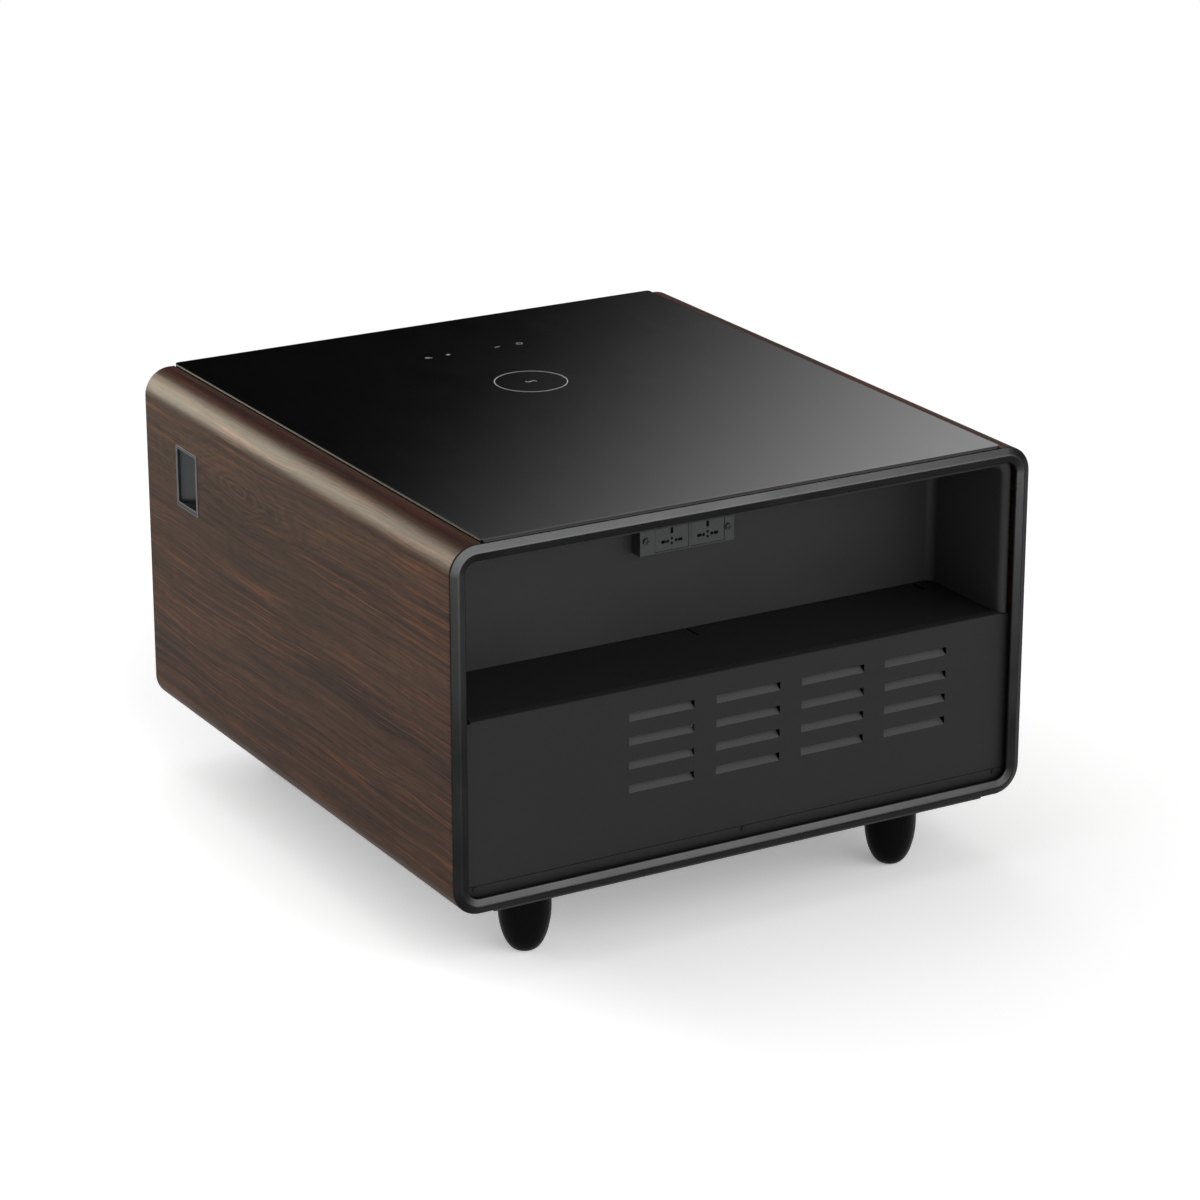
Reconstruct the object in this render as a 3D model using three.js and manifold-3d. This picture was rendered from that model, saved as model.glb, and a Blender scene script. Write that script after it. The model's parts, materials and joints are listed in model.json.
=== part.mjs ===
// Refrigerator coffee table: a low table with a chilled drawer, an open niche with mains
// sockets, a louvred compressor room, a glass top with a charging spot, and wood sides.
// Millimetres, +Z up. The origin is on the floor, under the middle of the body.
// The service side with the niche and the louvres faces -Y, the drawer faces +Y.
// Left and right are as seen from the service side, so the left side is at -X.

import * as THREE from 'three';
import { mergeVertices } from 'three/addons/utils/BufferGeometryUtils.js';
import Module from 'manifold-3d';

const wasm = await Module();
wasm.setup();

// Driving dimensions

// Body
const bodyWidth = 650;
const bodyDepth = 680;
const bodyHeight = 368;
const legHeight = 79; // floor to the underside of the wood
const glassProud = 3; // glass above the wood
const cornerRadius = 28;
const woodThickness = 10;
const woodTopReturn = 34; // wood strip beside the glass
const woodBottomReturn = 60; // wood strip under the body

// Gaps, cuts and facets
const seat = 0.3; // gap between pieces that rest on each other
const slideGap = 0.4; // gap between runner members
const overrun = 5; // how far a cutting shape runs past what it cuts
const lap = 1; // how far two shapes that become one piece run into each other
const arcSteps = 6; // facets in a quarter turn of a corner
const turnedSides = 24; // facets round a leg or a large turned piece
const smallSides = 10; // facets round a screw, a pipe stub or a pin

// Rear frame: a ridge round the service side, with a spigot that fits inside the wood
const frameBevelWidth = 7.8;
const frameBevelDepth = 3.5;
const frameCrestWidth = 1.4;
const frameCrestDrop = 0.3;
const frameInnerWidth = 8.4;
const frameInnerDepth = 2;
const frameEdge = 1; // straight edge behind the outer bevel
const frameLipDepth = 5;
const spigotWall = 2.2;
const spigotDepth = 9;

// Glass top and the deck that carries it
const glassGap = 1;
const glassThickness = 5;
const glassCornerRadius = 4;
const deckFrontInset = 5;
const coilPocketRadius = 46;
const coilPocketDepth = 5;
const coilFromFront = 249; // charging spot, from the drawer face
const coilInnerRadius = 11;
const coilOuterRadius = 24;
const coilHeight = 3;
const touchFromFront = 118; // touch row, from the drawer face
const touchBoardLength = 160;
const touchBoardWidth = 30;
const touchBoardThickness = 1.6;
const touchPadDiameter = 14;
const touchPadHeight = 1.2;
const touchPadOuterOffset = 55; // outer pads, either side of the middle
const touchPadInnerOffset = 30; // inner pads, either side of the middle
const pocketClearance = 1.5;

// Base pan: pressed sheet under the body
const panThickness = 2;
const panSideInset = 44; // body side to the edge of the pan
const ribPitchShare = 0.2; // pitch of the ribs as a share of the body's width
const ribTopWidth = 36;
const ribFlare = 7; // how far each rib wall leans out
const ribHeight = 10;
const panFrontInset = 5;
const panFlangeHeight = 11;
const ventSlotLength = 60;
const ventSlotWidth = 6;
const ventSlotPitch = 16;
const ventSlotCount = 4;
const glandHoleRadius = 9;
const glandFromSide = 147;
const glandFromRear = 31;
const glandFlangeRadius = 13;
const glandFlangeThickness = 2.5;
const glandBoreRadius = 4;
const glandBodyHeight = 9;

// Legs
const legRadius = 26.5;
const legDomeHeight = 48;
const legTipRadius = 7;
const legInsetX = 111.5;
const legInsetY = 67.5;
const legDomeSteps = 6;
const studRadius = 4;
const studHoleRadius = 4.3;
const studHeight = 8.5;
const nutRadius = 8;
const nutHeight = 7; // weld nut above the pan

// Louvred panel with its sill
const panelDepth = 10; // crest of the frame to the face of the panel
const panelInset = 12; // body side to the edge of the panel
const panelTop = 191.7; // above the underside of the body
const sheet = 1.2; // steel sheet of panel, sill and shelf flanges
const sillTop = 25; // above the underside of the body
const sillFoot = 12;
const sillCornerRadius = 17;
const tabDrop = 12;
const joggleHeight = 2;
const panelReturn = 10;
const panelTopFlange = 12;
const slotLength = 73;
const slotHeight = 8.6;
const slotPitchShare = 0.1505; // pitch of the slot columns as a share of the body's width
const slotPitchZ = 24.5;
const slotColumns = 4;
const slotRows = 4;
const slotFieldShare = 0.084; // middle of the slot field, right of the middle, as a share of the width
const slotFieldBottom = 83.8; // lowest slot edge, above the underside of the body
const bladeDepth = 10;
const panelScrewInset = 14; // edge of the panel to its outer screws
const panelScrewDrop = 2.6; // below the top of the sill
const panelScrewShank = 1.5;
const panelScrewHole = 1.8;
const panelScrewHead = 2.5;
const panelScrewHeadHeight = 1;
const panelScrewLength = 7;

// Niche
const nicheInset = 23.5; // body outline to the inner face of the niche
const nicheDepth = 134.5; // crest of the frame to the back wall
const nicheWall = 1.5;
const nicheFlare = 8;
const nicheMouthDepth = 11.5;
const nicheBackRadius = 9;
const nicheCornerShare = 0.32; // growth of the corner radius along the flare
const flareSteps = 4;
const shelfThickness = 2;
const shelfSlotLength = 22;
const shelfSlotWidth = 3;
const shelfSlotShare = 0.448; // pitch of the shelf slots as a share of the niche's width
const shelfSlotOffset = 9;
const railDepthStart = 24; // cross rail over the niche, behind the flare
const railDepth = 30;
const railWall = 1.5;

// Socket strip at the top of the niche
const stripEnd = 14.5; // housing past the modules at each end, before their offset
const stripHeight = 30;
const stripProud = 16;
const stripBottom = 280; // above the underside of the body
const stripBoreInset = 10; // end of the strip to the part that passes through the back wall
const stripBoreHeight = 22;
const stripTail = 14;
const moduleWidth = 38;
const moduleGap = 3; // bar of the housing between the modules
const moduleHeight = 26;
const moduleDepth = 11;
const moduleOffset = 3; // middle of the pair of modules, right of the middle of the strip
const moduleFace = 0.5; // module face behind the face of the strip
const pinDepth = 8;
const earthSlotWidth = 3;
const earthSlotHeight = 6;
const earthRise = 6.5;
const roundPinRadius = 1.7;
const roundPinSpread = 9.5;
const lineSlotWidth = 3;
const lineSlotHeight = 5;
const lineDrop = 4;
const midDotRadius = 1.4;
const midDotDrop = 1.5;
const midDotPitch = 5;
const stripScrewInset = 7;
const stripScrewHead = 3.6;
const stripScrewHeadHeight = 1.6;
const stripScrewShank = 1.6;
const stripScrewLength = 20;
const stripScrewHole = 1.9;
const crossSlotLength = 5;
const crossSlotWidth = 1;
const crossSlotDepth = 0.8;

// Grip cups in the wood sides
const gripFromFront = 100; // middle of the cup, from the drawer face
const gripMiddle = 273.6; // above the underside of the body
const gripBezelLength = 50;
const gripBezelHeight = 66;
const gripBezelSide = 3;
const gripBezelTop = 2.8;
const gripBezelBottom = 5.5;
const gripBezelProud = 0.6;
const gripBezelDepth = 4;
const gripCupWall = 1.2;
const gripCupDeep = 26; // depth at the end nearest the service side
const gripCupShallow = 3; // depth at the other end

// Insulated cabinet
const cabinetRear = 190; // crest of the frame to the rear of the lower part
const cabinetUpperRear = 160; // crest of the frame to the rear of the upper part
const shellSheet = 1;
const insulation = 38;
const cavityWall = 1.5;
const cavityRadius = 12;
const cabinetFrontInset = 48; // drawer face to the front edge of the cabinet
const sealFaceThickness = 4;

// Evaporator at the top rear of the cavity
const plateThickness = 1.6;
const plateInset = 30;
const plateHeight = 62;
const plateLift = 10;
const plateStandoff = 8;
const channelRadius = 2.6;
const channelRows = 4;
const coverThickness = 1.8;
const coverDepth = 30;
const coverSlotHeight = 4;
const coverSlotLength = 40;
const coverSlotColumns = 7;
const coverSlotShare = 0.113; // pitch of the slots as a share of the cavity's width
const coverSlotRows = 2;
const coverSlotRowPitch = 16;

// Drawer front
const frontInset = 12; // body outline to the outline of the drawer front
const frontBottomRadius = 16;
const frontGlass = 4;
const frontThickness = 33.7;
const frontGlassGap = 0.3;
const innerPlate = 2;
const innerPlateGap = 23; // top of the body to the top of the inner plate
const plugDepth = 11;
const plugInset = 24;
const plugWall = 2;
const pullWall = 2.5;
const pullLipHeight = 12.5;
const pullLipDrop = 9; // top of the inner plate to the lip
const gasketWidth = 14;
const gasketOffset = 8; // cavity edge to the inner edge of the gasket
const gasketDepth = 9.4;
const gasketBulb = 2;

// Drawer tub and its carrier
const tubWall = 2.5;
const tubFrontGap = 24; // plug of the drawer front to the tub
const tubHeight = 190;
const tubTaper = 6;
const tubRadius = 22;
const tubRimWidth = 6;
const tubRimThickness = 3;
const tubBottomLift = 8; // cavity floor to the underside of the tub
const tubFloorRadius = 10;
const carrierWall = 5.7;
const carrierHeight = 30;
const carrierRearBar = 3.5;
const dividerThickness = 2.4;
const dividerHeight = 120;
const dividerLip = 9;
const dividerPlaceShare = 0.38; // where the divider stands along the tub
const dividerWindowRows = 3;
const dividerWindowColumns = 8;
const dividerWindowHeight = 18;
const dividerWindowLength = 38;
const dividerWindowShare = 0.102; // pitch of the windows as a share of the tub's width
const dividerWindowPitchZ = 28;

// Runners, three members a side
const runnerHeight = 45;
const runnerFrontGap = 14; // front edge of the cabinet to the end of the runner
const runnerWidth = 12.7;
const runnerSheet = 1.2;
const runnerRise = 22; // top of the runner above the top of the carrier

// Compressor
const compressorFromRear = 100;
const compressorRadius = 68;
const compressorHeight = 148;
const compressorDome = 34;
const compressorSeam = 4; // seam flange beyond the shell
const compressorSeamHeight = 5;
const compressorSeamShare = 0.52; // height of the seam as a share of the shell's
const compressorSides = 20;
const compressorShell = 3;
const footPlateThickness = 3;
const footRunY = 90;
const footCornerRadius = 14;
const footRadius = 10;
const footPress = 6; // how far the four feet are pressed below the plate
const footBolt = 3.5;
const motorRadius = 50;
const motorHeight = 84;
const relayWidth = 46;
const relayHeight = 44;
const relayDepth = 26;
const relayLift = 28;
const stubRadius = 4;
const stubWall = 1.4;
const stubLength = 12;

// Condenser and fan
const condenserOffset = 16; // right rib to the middle of the condenser
const condenserThickness = 44;
const condenserLength = 134;
const condenserHeight = 140;
const condenserRows = 6;
const condenserCells = 10;
const condenserTube = 4;
const condenserFin = 1.6;
const headerRadius = 9;
const headerRise = 5;
const fanOffset = 12; // right rib to the fan's plate, towards the compressor
const fanPlate = 3;
const fanPlateSide = 150;
const fanRadius = 60;
const fanTipGap = 2.5;
const fanRingDepth = 20;
const fanRingWall = 2;
const fanHubRadius = 17;
const fanHubDepth = 18;
const fanBlades = 7;
const fanBladeThickness = 1.8;
const fanBladeChord = 30;
const fanRootAngle = 0.95; // radians from the plane of the fan
const fanTipAngle = 0.5;
const fanMotorRadius = 16;
const fanMotorDepth = 26;
const fanShaftRadius = 2.5;
const fanShaftLength = 14;
const fanArmWidth = 8;
const fanArmThickness = 3;
const fanHoleRadius = 2.6;

// Pipes and electrics
const pipeRadius = 2.6;
const pipeSides = 4; // facets in half of a pipe's girth
const pipeSteps = 16;
const pipeBend = 9;
const suctionRise = 60;
const drierRadius = 9;
const drierLength = 60;
const drierOffset = 34; // header to the middle of the drier
const controlBoxSideInset = 30.5; // body side to the box
const controlBoxRelayGap = 35.8; // box to the terminal cover
const controlBoxWidth = 110;
const controlBoxHeight = 70;
const controlBoxWall = 2;
const controlFootShare = 0.384; // place of the foot between the wood's return and the end of the box
const controlFootWidthShare = 0.132; // its width as a share of the same span
const controlBoxFromRear = 90;
const controlBoardThickness = 1.6;
const controlBoardLift = 8;
const controlPartHeight = 22;
const controlPartLength = 30;
const controlPartWidth = 24;

// Derived places

const halfWidth = bodyWidth / 2;
const rearY = -bodyDepth / 2;
const frontY = bodyDepth / 2;
const bottomZ = legHeight;
const topZ = bottomZ + bodyHeight;
const woodRearY = rearY + frameBevelDepth + frameEdge + seat;
const woodInnerTopZ = topZ - woodThickness;
const woodInnerBottomZ = bottomZ + woodThickness;
const glassHalf = halfWidth - woodTopReturn - glassGap;
const glassTopZ = topZ + glassProud;
const glassBottomZ = glassTopZ - glassThickness;
const deckTopZ = glassBottomZ - seat;
const coilY = frontY - coilFromFront;
const touchY = frontY - touchFromFront;
const panBottomZ = bottomZ - panThickness;
const ribPitch = bodyWidth * ribPitchShare;
const glandX = glandFromSide - halfWidth;
const floorRestZ = bottomZ + ribHeight; // top of the pan's ribs
const legX = halfWidth - legInsetX;
const legY = bodyDepth / 2 - legInsetY;
const panelY = rearY + panelDepth;
const panelHalfWidth = halfWidth - panelInset;
const panelScrewX = panelHalfWidth - panelScrewInset;
const slotPitchX = bodyWidth * slotPitchShare;
const slotFieldX = bodyWidth * slotFieldShare;
const sillTopZ = bottomZ + sillTop;
const panelTopZ = bottomZ + panelTop;
const sillBottomZ = floorRestZ + seat;
const shelfTopZ = panelTopZ - sheet - seat;
const shelfBottomZ = shelfTopZ - shelfThickness;
const nicheHalf = halfWidth - nicheInset;
const nicheTopZ = topZ - nicheInset;
const modulePitch = moduleWidth + moduleGap;
const stripLength = modulePitch + moduleWidth + stripEnd * 2;
const stripBoreLength = stripLength - stripBoreInset * 2;
const shelfSlotPitch = nicheHalf * 2 * shelfSlotShare;
const nicheMouthY = rearY + nicheMouthDepth;
const nicheBackY = rearY + nicheDepth;
const stripBottomZ = bottomZ + stripBottom;
const stripMiddleZ = stripBottomZ + stripHeight / 2;
const stripFaceY = nicheBackY - stripProud;
const gripY = frontY - gripFromFront;
const gripZ = bottomZ + gripMiddle;
const cabinetInset = woodThickness + seat;
const cabinetRearY = rearY + cabinetRear;
const cabinetUpperY = rearY + cabinetUpperRear;
const cabinetFrontY = frontY - cabinetFrontInset;
const stepZ = shelfTopZ + seat; // underside of the upper part of the cabinet
const cavityInset = cabinetInset + shellSheet + insulation;
const cavityHalf = halfWidth - cavityInset - cavityWall;
const cavityBottomZ = bottomZ + cavityInset + cavityWall;
const cavityTopZ = topZ - cavityInset - cavityWall;
const cavityRearY = cabinetRearY + shellSheet + insulation + cavityWall;
const cavityUpperY = cabinetUpperY + shellSheet + insulation + cavityWall;
const cavityStepZ = stepZ + shellSheet + insulation + cavityWall;
const coverSlotPitch = cavityHalf * 2 * coverSlotShare;
const sealFaceY = cabinetFrontY + seat;
const sealFrontY = sealFaceY + sealFaceThickness;
const frontHalf = halfWidth - frontInset;
const frontBottomZ = bottomZ + frontInset;
const innerPlateTopZ = topZ - innerPlateGap;
const frontGlassTopZ = innerPlateTopZ - pullLipDrop - pullLipHeight;
const frontBackY = frontY - frontThickness;
const coreBackY = frontBackY + innerPlate;
const coreFrontY = frontY - frontGlass - seat;
const gasketRearY = sealFrontY + seat;
const runnerOuterX = cavityHalf - seat; // outer face of the outer member
const runnerInnerX = runnerOuterX - runnerWidth; // inner face of the inner member
const carrierOuterX = runnerInnerX - seat;
const carrierInnerX = carrierOuterX - carrierWall;
const tubHalf = carrierInnerX - seat;
const tubBottomZ = cavityBottomZ + tubBottomLift;
const tubTopZ = tubBottomZ + tubHeight;
const carrierTopZ = tubTopZ - tubRimThickness - seat;
const carrierBottomZ = carrierTopZ - carrierHeight;
const tubRearY = cavityRearY + carrierRearBar * 2 + panThickness * 2;
const tubFrontY = frontBackY - plugDepth - tubFrontGap;
const tubLength = tubFrontY - tubRearY;
const runnerTopZ = carrierTopZ + runnerRise - carrierHeight / 2;
const runnerMiddleZ = runnerTopZ - runnerHeight / 2;
const runnerRearY = tubRearY - carrierRearBar;
const runnerLength = cabinetFrontY - runnerFrontGap - runnerRearY;
const dividerY = tubRearY + tubLength * dividerPlaceShare;
const dividerWindowPitchX = tubHalf * 2 * dividerWindowShare;
const footSpan = ribPitch; // its feet stand on the left and middle ribs
const compressorX = -ribPitch / 2;
const compressorY = rearY + compressorFromRear;
const compressorBaseZ = floorRestZ + seat + footPress + footPlateThickness;
const fanX = ribPitch - fanOffset;
const condenserX = ribPitch + condenserOffset;
const fanY = compressorY;
const fanZ = floorRestZ + seat + fanPlateSide / 2;
const condenserBottomZ = floorRestZ + seat;
const relayOuterX = compressorX - compressorRadius - seat - relayDepth;
const controlBoxLeft = controlBoxSideInset - halfWidth;
const controlBoxRight = relayOuterX - controlBoxRelayGap;
const controlBoxLength = controlBoxRight - controlBoxLeft;
const controlBoxX = (controlBoxLeft + controlBoxRight) / 2;
const controlFootSpan = controlBoxRight + halfWidth - woodBottomReturn;
const controlFootX = controlBoxRight - controlFootSpan * (1 - controlFootShare);
const controlFootWidth = controlFootSpan * controlFootWidthShare;
const controlBoxY = rearY + controlBoxFromRear;

// Solids: three.js makes every shape, and the library joins or cuts them

function outward(geometry) {
  // Turns the faces round if they point inwards, as they do after a mirror.
  const place = geometry.attributes.position;
  const index = geometry.index;
  const a = new THREE.Vector3();
  const b = new THREE.Vector3();
  const c = new THREE.Vector3();
  let volume = 0;
  for (let i = 0; i < index.count; i += 3) {
    a.fromBufferAttribute(place, index.getX(i));
    b.fromBufferAttribute(place, index.getX(i + 1));
    c.fromBufferAttribute(place, index.getX(i + 2));
    volume += a.dot(b.cross(c));
  }
  if (volume >= 0) return geometry;
  for (let i = 0; i < index.count; i += 3) {
    const second = index.getX(i + 1);
    index.setX(i + 1, index.getX(i + 2));
    index.setX(i + 2, second);
  }
  return geometry;
}

function solid(geometry) {
  const bare = geometry.clone();
  for (const name of Object.keys(bare.attributes)) {
    if (name !== 'position') bare.deleteAttribute(name);
  }
  const merged = outward(mergeVertices(bare));
  return new wasm.Manifold(new wasm.Mesh({
    numProp: 3,
    vertProperties: new Float32Array(merged.attributes.position.array),
    triVerts: new Uint32Array(merged.index.array),
  }));
}

function geometryOf(body) {
  const mesh = body.getMesh();
  const geometry = new THREE.BufferGeometry();
  geometry.setAttribute('position', new THREE.BufferAttribute(new Float32Array(mesh.vertProperties), 3));
  geometry.setIndex(new THREE.BufferAttribute(new Uint32Array(mesh.triVerts), 1));
  const flat = geometry.toNonIndexed();
  flat.computeVertexNormals();
  return flat;
}

function joined(first, ...others) {
  return others.reduce((body, other) => body.add(other), first);
}

function cut(first, ...others) {
  return others.reduce((body, other) => body.subtract(other), first);
}

function moved(body, x, y, z) {
  return solid(geometryOf(body).translate(x, y, z));
}

function mirroredX(body) {
  return solid(geometryOf(body).scale(-1, 1, 1));
}

function box(x0, x1, y0, y1, z0, z1) {
  const geometry = new THREE.BoxGeometry(x1 - x0, y1 - y0, z1 - z0);
  return solid(geometry.translate((x0 + x1) / 2, (y0 + y1) / 2, (z0 + z1) / 2));
}

function drum(radius, length, sides = smallSides) {
  // A cylinder along Z, standing on z = 0.
  const geometry = new THREE.CylinderGeometry(radius, radius, length, sides);
  return geometry.rotateX(Math.PI / 2).translate(0, 0, length / 2);
}

function drumZ(radius, x, y, z0, z1, sides) {
  return solid(drum(radius, z1 - z0, sides).translate(x, y, z0));
}

function drumY(radius, x, z, y0, y1, sides) {
  return solid(drum(radius, y1 - y0, sides).rotateX(-Math.PI / 2).translate(x, y0, z));
}

function drumX(radius, y, z, x0, x1, sides) {
  return solid(drum(radius, x1 - x0, sides).rotateY(Math.PI / 2).translate(x0, y, z));
}

function turned(profile, sides = turnedSides) {
  // Revolves [radius, height] pairs about Z. The profile starts and ends on the axis.
  const points = profile.map(([radius, height]) => new THREE.Vector2(radius, height));
  return solid(new THREE.LatheGeometry(points, sides).rotateX(Math.PI / 2));
}

function extruded(shape, depth) {
  return new THREE.ExtrudeGeometry(shape, { depth, bevelEnabled: false, curveSegments: arcSteps });
}

function alongY(shape, y0, y1) {
  // The shape is drawn in X and Z.
  return solid(extruded(shape, y1 - y0).rotateX(Math.PI / 2).translate(0, y1, 0));
}

function alongX(shape, x0, x1) {
  // The shape is drawn in Y and Z.
  const turn = new THREE.Matrix4().makeBasis(
    new THREE.Vector3(0, 1, 0), new THREE.Vector3(0, 0, 1), new THREE.Vector3(1, 0, 0));
  return solid(extruded(shape, x1 - x0).applyMatrix4(turn).translate(x0, 0, 0));
}

function alongZ(shape, z0, z1) {
  // The shape is drawn in X and Y.
  return solid(extruded(shape, z1 - z0).translate(0, 0, z0));
}

function outline(points) {
  return new THREE.Shape(points.map(([x, y]) => new THREE.Vector2(x, y)));
}

function cornerArc(cx, cy, radius, start) {
  // Points of a quarter turn, anticlockwise from the start angle; one point for a sharp corner.
  if (radius === 0) return [[cx, cy]];
  const points = [];
  for (let i = 0; i <= arcSteps; i += 1) {
    const angle = start + (i / arcSteps) * (Math.PI / 2);
    points.push([cx + radius * Math.cos(angle), cy + radius * Math.sin(angle)]);
  }
  return points;
}

function roundedRect(x0, x1, y0, y1, lowRadius, highRadius = lowRadius) {
  // Anticlockwise points; the low radius is for the corners at y0.
  return [
    ...cornerArc(x1 - highRadius, y1 - highRadius, highRadius, 0),
    ...cornerArc(x0 + highRadius, y1 - highRadius, highRadius, Math.PI / 2),
    ...cornerArc(x0 + lowRadius, y0 + lowRadius, lowRadius, Math.PI),
    ...cornerArc(x1 - lowRadius, y0 + lowRadius, lowRadius, Math.PI * 1.5),
  ];
}

function loft(rings, closed) {
  // Joins rings of equally many points; a closed loft bites its own tail, an open one is capped.
  const count = rings[0].length;
  const place = rings.flat(2);
  const faces = [];
  const last = closed ? rings.length : rings.length - 1;
  for (let r = 0; r < last; r += 1) {
    const low = r * count;
    const high = ((r + 1) % rings.length) * count;
    for (let i = 0; i < count; i += 1) {
      const next = (i + 1) % count;
      faces.push(low + i, low + next, high + next, low + i, high + next, high + i);
    }
  }
  if (!closed) {
    const top = (rings.length - 1) * count;
    for (let i = 1; i < count - 1; i += 1) {
      faces.push(0, i + 1, i, top, top + i, top + i + 1);
    }
  }
  const geometry = new THREE.BufferGeometry();
  geometry.setAttribute('position', new THREE.Float32BufferAttribute(place, 3));
  geometry.setIndex(faces);
  return solid(geometry);
}

function bodyRing(inset, y, radius = Math.max(cornerRadius - inset, seat)) {
  // The outline of the body in X and Z, drawn in by the inset, at one place along Y.
  return roundedRect(-halfWidth + inset, halfWidth - inset, bottomZ + inset, topZ - inset, radius)
    .map(([x, z]) => [x, y, z]);
}

function pipe(points, radius) {
  const section = new THREE.Shape();
  section.absarc(0, 0, radius, 0, Math.PI * 2);
  const path = new THREE.CatmullRomCurve3(points.map((p) => new THREE.Vector3(...p)), false, 'centripetal');
  return solid(new THREE.ExtrudeGeometry(section, {
    steps: pipeSteps, extrudePath: path, bevelEnabled: false, curveSegments: pipeSides,
  }));
}

// Finishes

function finish(color, roughness, metalness) {
  return new THREE.MeshStandardMaterial({ color, roughness, metalness });
}

const wood = () => finish(0x4a362c, 0.42, 0);
const blackPaint = () => finish(0x303131, 0.55, 0.2);
const blackGlass = () => finish(0x060607, 0.08, 0);
const blackPlastic = () => finish(0x1b1c1d, 0.45, 0);
const lightPlastic = () => finish(0xd8dadb, 0.5, 0);
const rubber = () => finish(0x141414, 0.85, 0);
const zinc = () => finish(0x9a9da0, 0.4, 0.9);
const satinAlloy = () => finish(0xa9abad, 0.35, 0.9);
const copper = () => finish(0xb5693c, 0.35, 0.9);
const foam = () => finish(0xd9c58a, 0.95, 0);
const board = () => finish(0x1f4a34, 0.6, 0);
const gloss = () => finish(0x0a0a0b, 0.18, 0);

const table = new THREE.Group();

function add(name, body, material, x = 0, y = 0, z = 0) {
  const mesh = new THREE.Mesh(geometryOf(body), material);
  mesh.name = name;
  mesh.position.set(x, y, z);
  table.add(mesh);
}

// Wood sides: a C section along Y with rounded outer and inner corners

function gripOpening(side, clearance) {
  // The rectangle that the grip cup fills in the left or right side.
  const halfLength = gripBezelLength / 2 - gripBezelSide + clearance;
  const halfHeight = gripBezelHeight / 2 - gripBezelTop + clearance;
  const deep = gripCupDeep + clearance;
  const x0 = side < 0 ? -halfWidth - overrun : halfWidth - deep;
  const x1 = side < 0 ? -halfWidth + deep : halfWidth + overrun;
  return box(x0, x1, gripY - halfLength, gripY + halfLength, gripZ - halfHeight, gripZ + halfHeight);
}

function sidePanel() {
  const topInner = -halfWidth + woodTopReturn;
  const bottomInner = -halfWidth + woodBottomReturn;
  const innerRadius = cornerRadius - woodThickness;
  const centreX = -halfWidth + cornerRadius;
  const points = [
    [topInner, topZ],
    ...cornerArc(centreX, topZ - cornerRadius, cornerRadius, Math.PI / 2),
    ...cornerArc(centreX, bottomZ + cornerRadius, cornerRadius, Math.PI),
    [bottomInner, bottomZ],
    [bottomInner, woodInnerBottomZ],
    ...cornerArc(centreX, bottomZ + cornerRadius, innerRadius, Math.PI).reverse(),
    ...cornerArc(centreX, topZ - cornerRadius, innerRadius, Math.PI / 2).reverse(),
    [topInner, woodInnerTopZ],
  ];
  return cut(alongY(outline(points), woodRearY, frontY), gripOpening(-1, seat + gripCupWall));
}

const leftSide = sidePanel();
add('side_panel_left', leftSide, wood());
add('side_panel_right', mirroredX(leftSide), wood());

// Rear frame: the ridge section carried round the outline of the body

function rearFrame() {
  const innerEdge = frameBevelWidth + frameInnerWidth;
  const spigotOuter = cabinetInset;
  const backDepth = frameBevelDepth + frameEdge;
  const section = [
    [0, frameBevelDepth],
    [frameBevelWidth - frameCrestWidth, frameCrestDrop],
    [frameBevelWidth, 0],
    [frameBevelWidth + frameCrestWidth, frameCrestDrop / 2],
    [innerEdge, frameInnerDepth],
    [innerEdge, frameLipDepth],
    [spigotOuter + spigotWall, frameLipDepth],
    [spigotOuter + spigotWall, spigotDepth],
    [spigotOuter, spigotDepth],
    [spigotOuter, backDepth],
    [0, backDepth],
  ];
  return loft(section.map(([inset, depth]) => bodyRing(inset, rearY + depth)), true);
}

add('rear_frame', rearFrame(), blackPlastic());

// Glass top, deck, charging coil and touch board

function glassTop() {
  const points = roundedRect(-glassHalf, glassHalf, woodRearY, frontY, glassCornerRadius);
  return alongZ(outline(points), glassBottomZ, glassTopZ);
}

function touchPadPlaces() {
  return [-touchPadOuterOffset, -touchPadInnerOffset, touchPadInnerOffset, touchPadOuterOffset];
}

function deck() {
  const pocketZ = deckTopZ - coilPocketDepth;
  const plate = box(-glassHalf, glassHalf, woodRearY, frontY - deckFrontInset, woodInnerTopZ, deckTopZ);
  const coilPocket = drumZ(coilPocketRadius, 0, coilY, pocketZ, deckTopZ + overrun, turnedSides);
  const halfLength = touchBoardLength / 2 + pocketClearance;
  const halfBoard = touchBoardWidth / 2 + pocketClearance;
  const touchPocket = box(-halfLength, halfLength, touchY - halfBoard, touchY + halfBoard,
    pocketZ, deckTopZ + overrun);
  return cut(plate, coilPocket, touchPocket);
}

function chargingCoil() {
  const base = deckTopZ - coilPocketDepth + seat;
  const top = base + coilHeight;
  const ring = drumZ(coilOuterRadius, 0, coilY, base, top, turnedSides);
  return cut(ring, drumZ(coilInnerRadius, 0, coilY, base - overrun, top + overrun, turnedSides));
}

function touchBoard() {
  const base = deckTopZ - coilPocketDepth + seat;
  const top = base + touchBoardThickness;
  const plate = box(-touchBoardLength / 2, touchBoardLength / 2,
    touchY - touchBoardWidth / 2, touchY + touchBoardWidth / 2, base, top);
  const pads = touchPadPlaces().map((x) => drumZ(
    touchPadDiameter / 2, x, touchY, top - touchBoardThickness / 2, top + touchPadHeight));
  return joined(plate, ...pads);
}

add('glass_top', glassTop(), blackGlass());
add('top_deck', deck(), blackPaint());
add('charging_coil', chargingCoil(), copper());
add('touch_board', touchBoard(), board());

// Base pan with pressed ribs and weld nuts, legs and cord gland

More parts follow.
